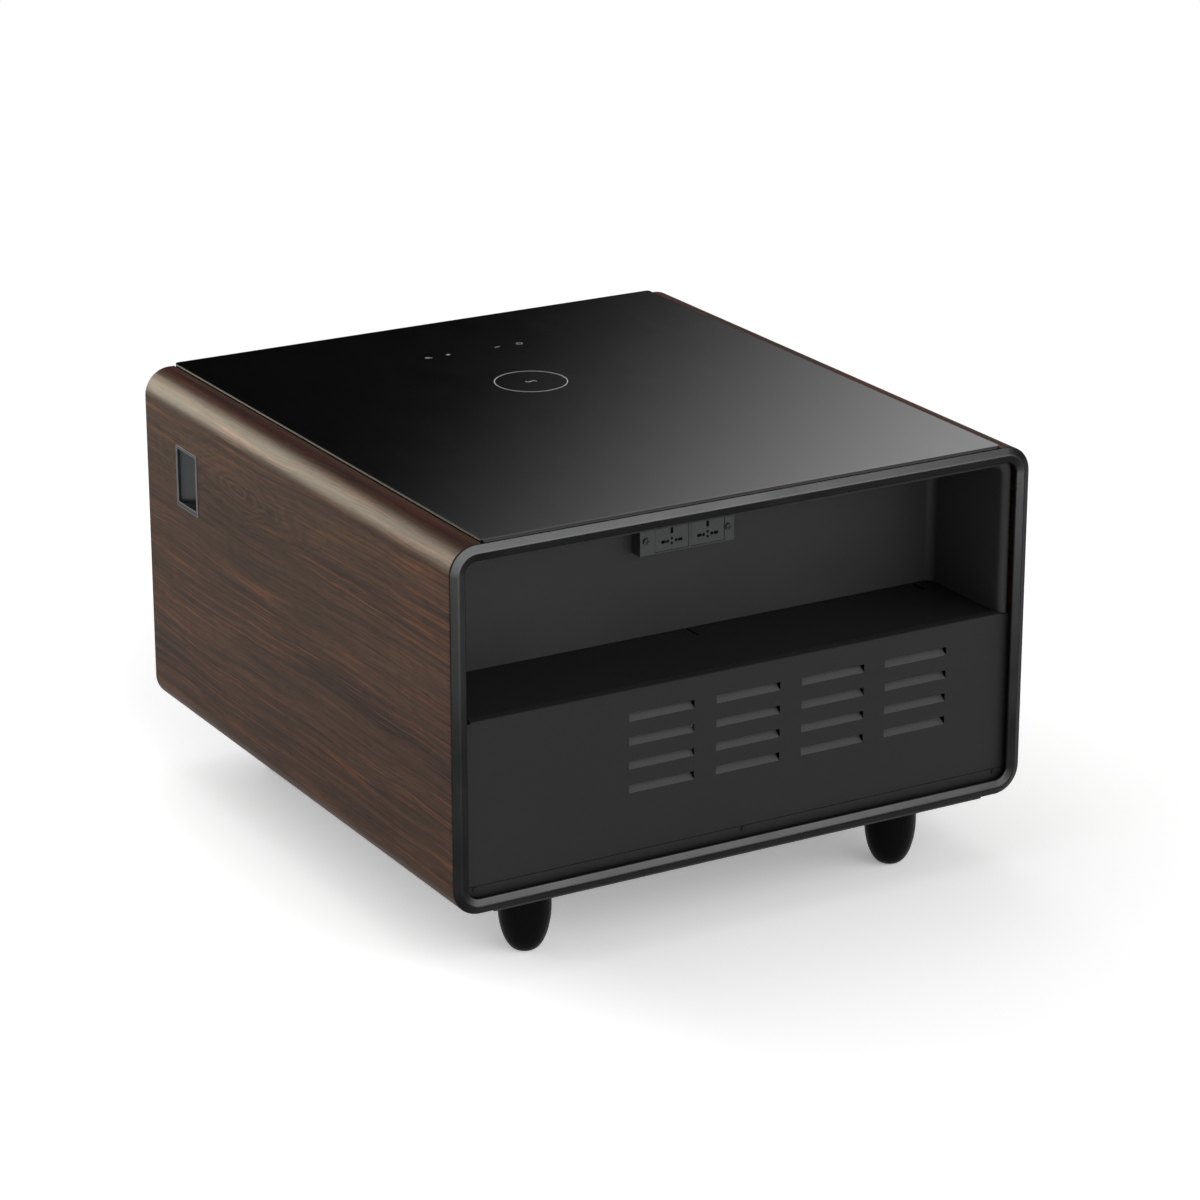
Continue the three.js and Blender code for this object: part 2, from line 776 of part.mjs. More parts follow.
function panSection() {
  // The sheet's section in X and Z: flat strips with a trapezoid rib at each pitch.
  const half = halfWidth - panSideInset;
  const shape = [];
  const trace = (lift, direction) => {
    const row = [[-half, panBottomZ + lift]];
    for (const middle of [-ribPitch, 0, ribPitch]) {
      const crown = ribTopWidth / 2 + (lift > 0 ? 0 : -panThickness / 2);
      const root = crown + ribFlare;
      const ridgeZ = panBottomZ + ribHeight + lift;
      row.push([middle - root, panBottomZ + lift], [middle - crown, ridgeZ]);
      row.push([middle + crown, ridgeZ], [middle + root, panBottomZ + lift]);
    }
    row.push([half, panBottomZ + lift]);
    return direction > 0 ? row : row.reverse();
  };
  shape.push(...trace(0, 1), ...trace(panThickness, -1));
  return outline(shape);
}

function basePan() {
  const panFrontY = frontY - panFrontInset;
  const flangeHalf = halfWidth - woodBottomReturn - seat;
  let pan = alongY(panSection(), woodRearY, panFrontY);
  for (const y of [woodRearY, panFrontY - panThickness]) {
    pan = joined(pan, box(-flangeHalf, flangeHalf, y, y + panThickness,
      panBottomZ, panBottomZ + panFlangeHeight));
  }
  for (const x of [-legX, legX]) {
    for (const y of [-legY, legY]) {
      pan = joined(pan, drumZ(nutRadius, x, y, bottomZ - lap, bottomZ + nutHeight, 6));
      pan = cut(pan, drumZ(studHoleRadius, x, y, panBottomZ - overrun, bottomZ + nutHeight + overrun));
    }
  }
  const ventX = ribPitch / 2;
  for (const side of [-ventX, ventX]) {
    for (let i = 0; i < ventSlotCount; i += 1) {
      const y = compressorY + (i - (ventSlotCount - 1) / 2) * ventSlotPitch;
      pan = cut(pan, box(side - ventSlotLength / 2, side + ventSlotLength / 2,
        y - ventSlotWidth / 2, y + ventSlotWidth / 2, panBottomZ - overrun, bottomZ + overrun));
    }
  }
  const glandY = rearY + glandFromRear;
  return cut(pan, drumZ(glandHoleRadius, glandX, glandY,
    panBottomZ - overrun, bottomZ + overrun, turnedSides));
}

function leg() {
  // A cylinder over a blunt elliptic dome, with its threaded stud, standing on z = 0.
  const top = panBottomZ - seat;
  const profile = [[0, 0], [legTipRadius, 0]];
  for (let i = 1; i <= legDomeSteps; i += 1) {
    const angle = (i / legDomeSteps) * (Math.PI / 2);
    profile.push([legTipRadius + (legRadius - legTipRadius) * Math.sin(angle),
      legDomeHeight * (1 - Math.cos(angle))]);
  }
  profile.push([legRadius, top], [studRadius, top], [studRadius, top + studHeight], [0, top + studHeight]);
  return turned(profile);
}

function cordGland() {
  // A bush pressed into the pan from below, with the bore for the mains cord.
  const top = bottomZ + glandBodyHeight - glandFlangeThickness;
  const collar = panBottomZ - seat;
  const profile = [
    [glandBoreRadius, collar - glandFlangeThickness],
    [glandFlangeRadius, collar - glandFlangeThickness],
    [glandFlangeRadius, collar],
    [glandHoleRadius - seat, collar],
    [glandHoleRadius - seat, top],
    [glandBoreRadius, top],
    [glandBoreRadius, collar - glandFlangeThickness],
  ];
  return turned(profile);
}

add('base_pan', basePan(), blackPaint());
const oneLeg = leg();
for (const [name, x, y] of [
  ['leg_rear_left', -legX, -legY], ['leg_rear_right', legX, -legY],
  ['leg_front_left', -legX, legY], ['leg_front_right', legX, legY],
]) add(name, oneLeg, gloss(), x, y, 0);
add('cord_gland', cordGland(), blackPlastic(), glandX, rearY + glandFromRear, 0);

// Sill, louvred panel and its screws

function panelScrewPlaces() {
  return [-panelScrewX, 0, panelScrewX].map((x) => [x, sillTopZ - panelScrewDrop]);
}

function screwHoles(radius, y0, y1) {
  return panelScrewPlaces().map(([x, z]) => drumY(radius, x, z, y0, y1, smallSides));
}

function sill() {
  const half = halfWidth - cabinetInset - seat;
  const full = sillTopZ + sillCornerRadius;
  const shape = outline(roundedRect(-half, half, sillBottomZ, full, sillCornerRadius, 0));
  const face = cut(alongY(shape, panelY, panelY + sheet),
    box(-halfWidth, halfWidth, rearY, panelY + overrun, sillTopZ, full + overrun));
  const footHalf = half - sillCornerRadius;
  const foot = box(-footHalf, footHalf, panelY, panelY + sillFoot, sillBottomZ, sillBottomZ + sheet);
  return cut(joined(face, foot), ...screwHoles(panelScrewHole, panelY - overrun, panelY + sillFoot / 2));
}

function slotPlaces() {
  const places = [];
  for (let column = 0; column < slotColumns; column += 1) {
    for (let row = 0; row < slotRows; row += 1) {
      places.push([slotFieldX + (column - (slotColumns - 1) / 2) * slotPitchX,
        bottomZ + slotFieldBottom + row * slotPitchZ]);
    }
  }
  return places;
}

function louvreBlade(x, z) {
  // A lanced blade: its lower edge stays in the sheet and it leans in and up behind the slot.
  const length = Math.hypot(bladeDepth, slotHeight);
  const backY = (sheet * slotHeight) / length;
  const backZ = (sheet * bladeDepth) / length;
  const section = outline([
    [panelY, z - lap],
    [panelY, z],
    [panelY + bladeDepth, z + slotHeight],
    [panelY + bladeDepth + backY, z + slotHeight - backZ],
    [panelY + sheet, z - lap],
  ]);
  return alongX(section, x - slotLength / 2 + seat, x + slotLength / 2 - seat);
}

function louvrePanel() {
  const bottom = sillTopZ + seat;
  const sideTop = shelfBottomZ - seat;
  const tabY = panelY + sheet + seat;
  const flangeHalf = nicheHalf - seat;
  let panel = box(-panelHalfWidth, panelHalfWidth, panelY, panelY + sheet, bottom, panelTopZ);
  for (const [x, z] of slotPlaces()) {
    panel = cut(panel, box(x - slotLength / 2, x + slotLength / 2,
      panelY - overrun, panelY + overrun, z, z + slotHeight));
  }
  panel = joined(panel, ...slotPlaces().map(([x, z]) => louvreBlade(x, z)));
  const returnLeft = box(-panelHalfWidth, -panelHalfWidth + sheet, panelY, panelY + panelReturn,
    bottom, sideTop);
  const topFlange = box(-flangeHalf, flangeHalf, panelY, panelY + panelTopFlange,
    panelTopZ - sheet, panelTopZ);
  const joggle = box(-panelScrewX, panelScrewX, panelY, tabY + sheet, bottom, bottom + joggleHeight);
  const tabHalf = panelScrewX + panelScrewHead * 2;
  const tab = box(-tabHalf, tabHalf, tabY, tabY + sheet, bottom - tabDrop, bottom + joggleHeight);
  panel = joined(panel, returnLeft, mirroredX(returnLeft), topFlange, joggle, tab);
  return cut(panel, ...screwHoles(panelScrewHole, tabY - seat / 2, tabY + overrun));
}

function panelScrew() {
  // Its head rests on the panel's face at y = 0 and its shank runs in along Y.
  return joined(
    drumY(panelScrewHead, 0, 0, -seat - panelScrewHeadHeight, -seat),
    drumY(panelScrewShank, 0, 0, -seat - panelScrewHeadHeight / 2, panelScrewLength));
}

add('rear_sill', sill(), blackPaint());
add('louvre_panel', louvrePanel(), blackPaint());
const onePanelScrew = panelScrew();
const panelScrewNames = ['panel_screw_left', 'panel_screw_middle', 'panel_screw_right'];
panelScrewPlaces().forEach(([x, z], i) => add(panelScrewNames[i], onePanelScrew, zinc(), x, panelY, z));

// Niche: a shell with rounded corners and a flared mouth, its shelf and the rail above it

function nicheRing(out, y, radius) {
  // A rounded outline of the niche, grown by "out"; it runs down past the shelf, where it is cut.
  const low = shelfTopZ - nicheInset;
  return roundedRect(-nicheHalf - out, nicheHalf + out, low - out, nicheTopZ + out, radius)
    .map(([x, z]) => [x, y, z]);
}

function nicheLiner() {
  const rings = [];
  const radius = (out) => nicheBackRadius + Math.max(out, 0) * nicheCornerShare;
  const push = (out, y) => rings.push(nicheRing(out, y, radius(out)));
  const quarter = (i, steps) => (i / steps) * (Math.PI / 2);
  for (let i = 0; i <= flareSteps; i += 1) { // inner corner between the back and the walls
    const angle = quarter(i, flareSteps);
    push(-nicheBackRadius * (1 - Math.sin(angle)), nicheBackY - nicheBackRadius * (1 - Math.cos(angle)));
  }
  for (let i = 0; i <= flareSteps; i += 1) { // inner face of the flare
    const angle = quarter(i, flareSteps);
    push(nicheFlare * (1 - Math.cos(angle)), nicheMouthY + nicheFlare * (1 - Math.sin(angle)));
  }
  const outerFlare = nicheFlare - nicheWall;
  for (let i = flareSteps; i >= 0; i -= 1) { // outer face of the flare
    const angle = quarter(i, flareSteps);
    push(nicheWall + outerFlare * (1 - Math.cos(angle)),
      nicheMouthY + nicheWall + outerFlare * (1 - Math.sin(angle)));
  }
  const outerRadius = nicheBackRadius + nicheWall;
  for (let i = flareSteps; i >= 0; i -= 1) { // outer corner between the walls and the back
    const angle = quarter(i, flareSteps);
    push(nicheWall - outerRadius * (1 - Math.sin(angle)),
      nicheBackY + nicheWall - outerRadius * (1 - Math.cos(angle)));
  }
  const below = box(-halfWidth, halfWidth, rearY, nicheBackY + overrun, bottomZ, shelfTopZ + seat);
  const windowX = stripBoreLength / 2 + seat;
  const windowZ = stripBoreHeight / 2 + seat;
  const window = box(-windowX, windowX, nicheBackY - overrun, nicheBackY + overrun,
    stripMiddleZ - windowZ, stripMiddleZ + windowZ);
  const screws = stripScrewPlaces().map((x) => drumY(
    stripScrewHole, x, stripMiddleZ, nicheBackY - overrun, nicheBackY + overrun));
  return cut(loft(rings, false), below, window, ...screws);
}

function shelf() {
  const half = halfWidth - cabinetInset;
  const rear = panelY + sheet + seat;
  let plate = box(-half, half, rear, cabinetRearY - panelTopFlange, shelfBottomZ, shelfTopZ);
  for (const x of [-shelfSlotPitch, 0, shelfSlotPitch]) {
    const middle = x + shelfSlotOffset;
    plate = cut(plate, box(middle - shelfSlotWidth / 2, middle + shelfSlotWidth / 2,
      nicheBackY - shelfSlotLength, nicheBackY - seat, shelfBottomZ - overrun, shelfTopZ + overrun));
  }
  return plate;
}

function topRail() {
  // A box-section rail that carries the deck over the niche.
  const half = halfWidth - cornerRadius;
  const y0 = rearY + railDepthStart;
  const z0 = nicheTopZ + nicheWall + seat;
  const z1 = woodInnerTopZ - seat;
  const tube = box(-half, half, y0, y0 + railDepth, z0, z1);
  return cut(tube, box(-half - overrun, half + overrun, y0 + railWall, y0 + railDepth - railWall,
    z0 + railWall, z1 - railWall));
}

add('niche_liner', nicheLiner(), blackPaint());
add('niche_shelf', shelf(), blackPaint());
add('rear_top_rail', topRail(), zinc());

// Socket strip: housing, two universal socket modules and two screws

function stripScrewPlaces() {
  return [-stripLength / 2 + stripScrewInset, stripLength / 2 - stripScrewInset];
}

function modulePlaces() {
  return [moduleOffset - modulePitch / 2, moduleOffset + modulePitch / 2];
}

function moduleBox(x, clearance, front, back) {
  const halfLong = moduleWidth / 2 + clearance;
  const halfHigh = moduleHeight / 2 + clearance;
  return box(x - halfLong, x + halfLong, front, back, stripMiddleZ - halfHigh, stripMiddleZ + halfHigh);
}

function socketHousing() {
  const half = stripLength / 2;
  const rear = nicheBackY - seat;
  const front = box(-half, half, stripFaceY, rear, stripBottomZ, stripBottomZ + stripHeight);
  const tail = box(-stripBoreLength / 2, stripBoreLength / 2, rear - lap, nicheBackY + stripTail,
    stripMiddleZ - stripBoreHeight / 2, stripMiddleZ + stripBoreHeight / 2);
  const pockets = modulePlaces().map((x) => moduleBox(x, seat, stripFaceY - overrun,
    stripFaceY + moduleFace + moduleDepth + seat));
  const holes = stripScrewPlaces().map((x) => drumY(
    stripScrewHole, x, stripMiddleZ, stripFaceY - overrun, nicheBackY + overrun));
  return cut(joined(front, tail), ...pockets, ...holes);
}

function socketModule(x) {
  const face = stripFaceY + moduleFace;
  const z = stripMiddleZ;
  const slot = (dx, dz, width, height) => box(x + dx - width / 2, x + dx + width / 2,
    face - overrun, face + pinDepth, z + dz - height / 2, z + dz + height / 2);
  const dot = (dx, dz, radius) => drumY(radius, x + dx, z + dz, face - overrun, face + pinDepth);
  return cut(moduleBox(x, 0, face, face + moduleDepth),
    slot(0, earthRise, earthSlotWidth, earthSlotHeight),
    slot(-roundPinSpread, -lineDrop, lineSlotHeight, lineSlotWidth),
    slot(roundPinSpread, -lineDrop, lineSlotHeight, lineSlotWidth),
    dot(-roundPinSpread / 2, -lineDrop, roundPinRadius),
    dot(roundPinSpread / 2, -lineDrop, roundPinRadius),
    dot(0, -midDotDrop, midDotRadius),
    dot(0, -midDotDrop - midDotPitch, midDotRadius));
}

function stripScrew() {
  // A cross-head screw whose head rests on the strip's face at y = 0.
  const head = -seat - stripScrewHeadHeight;
  const body = joined(
    drumY(stripScrewHead, 0, 0, head, -seat),
    drumY(stripScrewShank, 0, 0, head + stripScrewHeadHeight / 2, stripScrewLength));
  const bar = (long, high) => box(-long / 2, long / 2, head - overrun, head + crossSlotDepth,
    -high / 2, high / 2);
  return cut(body, bar(crossSlotLength, crossSlotWidth), bar(crossSlotWidth, crossSlotLength));
}

add('socket_housing', socketHousing(), blackPlastic());
const [leftModule, rightModule] = modulePlaces().map((x) => socketModule(x));
add('socket_left', leftModule, blackPlastic());
add('socket_right', rightModule, blackPlastic());
const oneStripScrew = stripScrew();
const [leftScrewX, rightScrewX] = stripScrewPlaces();
add('socket_screw_left', oneStripScrew, zinc(), leftScrewX, stripFaceY, stripMiddleZ);
add('socket_screw_right', oneStripScrew, zinc(), rightScrewX, stripFaceY, stripMiddleZ);

// Grip cups: a pocket whose back slants across the cup, behind a thin metal bezel

function gripCup() {
  const halfLength = gripBezelLength / 2 - gripBezelSide;
  const halfHeight = gripBezelHeight / 2 - gripBezelTop;
  const face = -halfWidth + gripBezelProud;
  const wedge = (grow, front) => outline([
    [gripY - halfLength - grow, front],
    [gripY + halfLength + grow, front],
    [gripY + halfLength + grow, -halfWidth + gripCupShallow + grow],
    [gripY - halfLength - grow, -halfWidth + gripCupDeep - gripCupWall + grow],
  ]);
  const upright = (shape, low, high) => {
    // Turns a shape in Y and X into a prism along Z.
    const swap = new THREE.Matrix4().makeBasis(
      new THREE.Vector3(0, 1, 0), new THREE.Vector3(1, 0, 0), new THREE.Vector3(0, 0, 1));
    return solid(extruded(shape, high - low).applyMatrix4(swap).translate(0, 0, low));
  };
  const outer = upright(wedge(gripCupWall, face),
    gripZ - halfHeight - gripCupWall, gripZ + halfHeight + gripCupWall);
  const inner = upright(wedge(0, face - overrun), gripZ - halfHeight, gripZ + halfHeight);
  return cut(outer, inner);
}

function gripBezel() {
  const y0 = gripY - gripBezelLength / 2;
  const y1 = gripY + gripBezelLength / 2;
  const z0 = gripZ - gripBezelHeight / 2;
  const z1 = gripZ + gripBezelHeight / 2;
  const outer = -halfWidth - gripBezelProud;
  const plate = box(outer, -halfWidth - seat, y0, y1, z0, z1);
  const collarOut = box(outer, -halfWidth + gripBezelProud - seat, y0 + gripBezelSide, y1 - gripBezelSide,
    z0 + gripBezelTop, z1 - gripBezelTop);
  const window = box(outer - overrun, -halfWidth + gripBezelDepth, y0 + gripBezelSide + gripCupWall,
    y1 - gripBezelSide - gripCupWall, z0 + gripBezelBottom, z1 - gripBezelTop - gripCupWall);
  return cut(joined(plate, collarOut), window);
}

const leftCup = gripCup();
const leftBezel = gripBezel();
add('grip_cup_left', leftCup, blackPlastic());
add('grip_cup_right', mirroredX(leftCup), blackPlastic());
add('grip_bezel_left', leftBezel, satinAlloy());
add('grip_bezel_right', mirroredX(leftBezel), satinAlloy());

// Insulated cabinet: outer shell, foam and cavity liner, all one stepped form at three insets

function steppedBody(inset, front) {
  const lift = inset - cabinetInset;
  const block = loft([bodyRing(inset, cabinetUpperY + lift), bodyRing(inset, front)], false);
  return cut(block, box(-bodyWidth, bodyWidth, rearY, cabinetRearY + lift, 0, stepZ + lift));
}

function steppedCavity(grow, front) {
  const ring = (y) => roundedRect(-cavityHalf - grow, cavityHalf + grow, cavityBottomZ - grow,
    cavityTopZ + grow, cavityRadius + grow).map(([x, z]) => [x, y, z]);
  const block = loft([ring(cavityUpperY - grow), ring(front)], false);
  return cut(block, box(-bodyWidth, bodyWidth, rearY, cavityRearY - grow, 0, cavityStepZ - grow));
}

function cabinetShell() {
  const shell = cut(steppedBody(cabinetInset, cabinetFrontY), steppedBody(cabinetInset + shellSheet,
    cabinetFrontY + overrun));
  return cut(shell, gripOpening(-1, gripCupWall * 2), gripOpening(1, gripCupWall * 2));
}

function cabinetFoam() {
  const block = cut(steppedBody(cabinetInset + shellSheet + seat, cabinetFrontY),
    steppedCavity(cavityWall + seat, cabinetFrontY + overrun));
  return cut(block, gripOpening(-1, gripCupWall * 2), gripOpening(1, gripCupWall * 2));
}

function cabinetLiner() {
  // The cavity liner turns out at the front into the face that the drawer seals against.
  const wall = cut(steppedCavity(cavityWall, sealFrontY), steppedCavity(0, sealFrontY + overrun));
  const opening = roundedRect(-cavityHalf, cavityHalf, cavityBottomZ, cavityTopZ, cavityRadius);
  const shape = outline(bodyRing(cabinetInset, 0).map(([x, , z]) => [x, z]));
  shape.holes.push(new THREE.Path(opening.map(([x, z]) => new THREE.Vector2(x, z))));
  return joined(wall, alongY(shape, sealFaceY, sealFrontY));
}

add('cabinet_shell', cabinetShell(), zinc());
add('cabinet_foam', cabinetFoam(), foam());
add('cabinet_liner', cabinetLiner(), lightPlastic());

// Evaporator plate with its serpentine channel, behind a slotted cover

function evaporator() {
  const half = cavityHalf - plateInset;
  const y = cavityUpperY + plateStandoff;
  const z0 = cavityStepZ + plateLift;
  let plate = box(-half, half, y, y + plateThickness, z0, z0 + plateHeight);
  const pitch = plateHeight / channelRows;
  for (let row = 0; row < channelRows; row += 1) {
    const z = z0 + pitch * (row + 1 / 2);
    plate = joined(plate, drumX(channelRadius, y, z, -half + pitch, half - pitch, smallSides / 2));
    if (row > 0) {
      const side = row % 2 ? half - pitch : -half + pitch;
      plate = joined(plate, box(side - channelRadius, side + channelRadius,
        y - channelRadius, y + plateThickness / 2, z - pitch, z));
    }
  }
  const bossY = cavityUpperY + seat;
  for (const x of [-half + pitch, half - pitch]) {
    plate = joined(plate, drumY(channelRadius * 2, x, z0 + plateHeight / 2, bossY, y + lap, smallSides));
  }
  return plate;
}

function evaporatorCover() {
  // An L-shaped cover that closes the step and lets the cold air through its slots.
  const half = cavityHalf - seat;
  const y1 = cavityUpperY + coverDepth;
  const z0 = cavityStepZ + seat;
  const z1 = cavityTopZ - seat - cavityRadius;
  let cover = joined(
    box(-half, half, y1 - coverThickness, y1, z0, z1),
    box(-half, half, cavityUpperY + seat, y1, z0, z0 + coverThickness));
  for (let row = 0; row < coverSlotRows; row += 1) {
    for (let column = 0; column < coverSlotColumns; column += 1) {
      const x = (column - (coverSlotColumns - 1) / 2) * coverSlotPitch;
      const z = (z0 + z1) / 2 + (row - (coverSlotRows - 1) / 2) * coverSlotRowPitch;
      cover = cut(cover, box(x - coverSlotLength / 2, x + coverSlotLength / 2, y1 - overrun, y1 + overrun,
        z - coverSlotHeight / 2, z + coverSlotHeight / 2));
    }
  }
  return cover;
}

add('evaporator_plate', evaporator(), satinAlloy());
add('evaporator_cover', evaporatorCover(), lightPlastic());

// Drawer front: glass face, foamed core, inner plate with its plug, gasket and pull profile

function frontShape(top) {
  return outline(roundedRect(-frontHalf, frontHalf, frontBottomZ, top, frontBottomRadius, 0));
}

function frontPanel() {
  // The foamed panel behind the glass, its taller back plate, and the hollow plug of its liner.
  const core = alongY(frontShape(frontGlassTopZ - frontGlassGap), coreBackY - lap, coreFrontY);
  const plate = alongY(frontShape(innerPlateTopZ), frontBackY, coreBackY);
  const half = cavityHalf - plugInset;
  const ring = (grow) => outline(roundedRect(-half - grow, half + grow, cavityBottomZ + plugInset - grow,
    cavityTopZ - plugInset + grow, cavityRadius + grow));
  const plug = alongY(ring(0), frontBackY - plugDepth, frontBackY + lap);
  const dish = alongY(ring(-plugWall), frontBackY - plugDepth - overrun, frontBackY - plugWall);
  return cut(joined(core, plate, plug), dish);
}

function frontGlassFace() {
  return alongY(frontShape(frontGlassTopZ - frontGlassGap), frontY - frontGlass, frontY);
}

function pullProfile() {
  // A J section along the top of the drawer front, open upwards for the fingers.
  const low = frontGlassTopZ;
  const pullBackY = coreBackY + seat;
  const section = outline([
    [pullBackY, low],
    [frontY, low],
    [frontY, low + pullLipHeight],
    [frontY - pullWall, low + pullLipHeight],
    [frontY - pullWall, low + pullWall],
    [pullBackY + pullWall, low + pullWall],
    [pullBackY + pullWall, innerPlateTopZ],
    [pullBackY, innerPlateTopZ],
  ]);
  return alongX(section, -frontHalf + seat, frontHalf - seat);
}

function gasketRing(out, y) {
  // A ring round the cavity mouth, grown by "out".
  return roundedRect(-cavityHalf - out, cavityHalf + out, cavityBottomZ - out, cavityTopZ + out,
    cavityRadius + out).map(([x, z]) => [x, y, z]);
}

function gasket() {
  // A bulb against the sealing face with a flat foot against the drawer's inner plate.
  const inner = gasketOffset;
  const outer = gasketOffset + gasketWidth;
  const front = frontBackY - seat;
  const middle = (gasketRearY + front) / 2;
  const section = [
    [inner, front], [inner, middle], [inner + gasketBulb, gasketRearY],
    [outer - gasketBulb, gasketRearY], [outer, middle], [outer, front],
  ];
  return loft(section.map(([out, y]) => gasketRing(out, y)), true);
}

add('drawer_front_panel', frontPanel(), blackPlastic());
add('drawer_glass_face', frontGlassFace(), blackGlass());
add('drawer_pull', pullProfile(), satinAlloy());
add('drawer_gasket', gasket(), rubber());

// Tub: a tapered bin with rounded corners and a rim that rests on its carrier

function tubRing(inset, z, radius) {
  return roundedRect(-tubHalf + inset, tubHalf - inset, tubRearY + inset, tubFrontY - inset, radius)
    .map(([x, y]) => [x, y, z]);
}

function tub() {
  const radius = (inset) => Math.max(tubRadius - inset / 2, seat);
  const floorZ = tubBottomZ + tubWall;
  const rings = [
    [tubTaper + tubFloorRadius, tubBottomZ],
    [tubTaper + tubFloorRadius / 3, tubBottomZ + tubFloorRadius / 3],
    [tubTaper, tubBottomZ + tubFloorRadius],
    [0, tubTopZ - tubRimThickness],
    [-tubRimWidth, tubTopZ - tubRimThickness],
    [-tubRimWidth, tubTopZ],
    [tubWall, tubTopZ],
    [tubTaper + tubWall, floorZ + tubFloorRadius],
    [tubTaper + tubWall + tubFloorRadius / 3, floorZ + tubFloorRadius / 3],
    [tubTaper + tubWall + tubFloorRadius, floorZ],
  ];
  return loft(rings.map(([inset, z]) => tubRing(inset, z, radius(inset))), false);
}

function carrier() {
  // Two side rails, a rear bar and a front bar, welded into a frame round the tub.
  const rear = tubRearY - seat;
  const front = tubFrontY + seat;
  const side = box(carrierInnerX, carrierOuterX, rear - carrierRearBar, frontBackY - seat,
    carrierBottomZ, carrierTopZ);
  const bar = (y0, y1) => box(-carrierInnerX - lap, carrierInnerX + lap, y0, y1,
    carrierTopZ - carrierHeight / 2, carrierTopZ);
  return joined(side, mirroredX(side),
    bar(rear - carrierRearBar, rear), bar(front, front + carrierRearBar));
}

function divider() {
  // A slotted wall across the tub that hooks over its rim at both ends.
  const top = tubTopZ + seat;
  const wallHalf = tubHalf - tubWall - tubTaper - seat;
  const low = tubTopZ - dividerHeight;
  const y0 = dividerY - dividerThickness / 2;
  const y1 = dividerY + dividerThickness / 2;
  let wall = joined(
    box(-wallHalf, wallHalf, y0, y1, low, top + dividerThickness),
    box(-tubHalf - tubRimWidth / 2, tubHalf + tubRimWidth / 2,
      y0 - dividerLip / 2, y1 + dividerLip / 2, top, top + dividerThickness));
  for (let row = 0; row < dividerWindowRows; row += 1) {
    for (let column = 0; column < dividerWindowColumns; column += 1) {
      const x = (column - (dividerWindowColumns - 1) / 2) * dividerWindowPitchX;
      const z = (low + top) / 2 + (row - (dividerWindowRows - 1) / 2) * dividerWindowPitchZ;
      wall = cut(wall, box(x - dividerWindowLength / 2, x + dividerWindowLength / 2,
        y0 - overrun, y1 + overrun, z - dividerWindowHeight / 2, z + dividerWindowHeight / 2));
    }
  }
  return wall;
}

add('drawer_tub', tub(), lightPlastic());
add('drawer_carrier', carrier(), zinc());
add('tub_divider', divider(), lightPlastic());

// Runners: three nested channels a side; the middle one moves half as far as the drawer

function channel(webX, lipX, height) {
  // A C section with its web at webX and its lips running to lipX, along the runner's length.
  const inward = Math.sign(lipX - webX);
  const z0 = runnerMiddleZ - height / 2;
  const z1 = runnerMiddleZ + height / 2;
  const web = webX + inward * runnerSheet;
  const section = outline([
    [webX, z0], [lipX, z0], [lipX, z0 + runnerSheet], [web, z0 + runnerSheet],
    [web, z1 - runnerSheet], [lipX, z1 - runnerSheet], [lipX, z1], [webX, z1],
  ]);
  return alongY(section, runnerRearY, runnerRearY + runnerLength);
}

function runnerMembers() {
  const step = runnerSheet + slideGap;
  const middleHeight = runnerHeight - 2 * step;
  const innerHeight = middleHeight - 2 * step;
  return {
    outer: channel(runnerOuterX, runnerInnerX + step, runnerHeight),
    middle: channel(runnerOuterX - step, runnerInnerX + step, middleHeight),
    inner: channel(runnerInnerX, runnerOuterX - 2 * step, innerHeight),
  };
}

for (const [member, body] of Object.entries(runnerMembers())) {
  add(`runner_${member}_left`, mirroredX(body), zinc());
  add(`runner_${member}_right`, body, zinc());
}

// Compressor: a two-part shell with a seam flange on a foot plate with rubber grommets

function compressorProfile(inset) {
  const radius = compressorRadius - inset;
  const height = compressorHeight - 2 * inset;
  const dome = compressorDome - inset;
  const seamZ = height * compressorSeamShare;
  const profile = [[radius - dome / 2, 0], [radius, dome / 2]];
  if (inset === 0) {
    profile.push([radius, seamZ], [radius + compressorSeam, seamZ],
      [radius + compressorSeam, seamZ + compressorSeamHeight], [radius, seamZ + compressorSeamHeight]);
  }
  for (let i = 0; i <= arcSteps; i += 1) {
    const angle = (i / arcSteps) * (Math.PI / 2);
    profile.push([(radius - dome) + dome * Math.cos(angle), height - dome + dome * Math.sin(angle)]);
  }
  return [[0, 0], ...profile, [0, height]].map(([r, z]) => [r, z + inset]);
}

function footPlaces() {
  const places = [];
  for (const x of [-footSpan / 2, footSpan / 2]) {
    for (const y of [-footRunY / 2, footRunY / 2]) places.push([x, y]);
  }
  return places;
}

function compressor() {
  // The hollow shell on its foot plate; both pipe stubs are open into it.
  const stubsZ = (compressorHeight * compressorSeamShare) / 2;
  const end = compressorRadius + stubLength;
  const halfX = footSpan / 2 + footCornerRadius;
  const halfY = footRunY / 2 + footCornerRadius;
  const plate = alongZ(outline(roundedRect(-halfX, halfX, -halfY, halfY, footCornerRadius)),
    -footPlateThickness, lap);
  const stubAt = (y, radius, past) => drumX(radius, y, stubsZ, motorRadius, end + past);
  const apart = compressorRadius / 3;
  const footZ = -footPlateThickness - footPress;
  const feet = footPlaces().map(([x, y]) => drumZ(footRadius, x, y, footZ, 0));
  const shell = joined(turned(compressorProfile(0), compressorSides), plate, stubAt(-apart, stubRadius, 0),
    stubAt(apart, stubRadius, 0), ...feet);
  return cut(shell, turned(compressorProfile(compressorShell), compressorSides),
    stubAt(-apart, stubRadius - stubWall, overrun), stubAt(apart, stubRadius - stubWall, overrun),
    ...footPlaces().map(([x, y]) => drumZ(footBolt, x, y, footZ - overrun, overrun)));
}

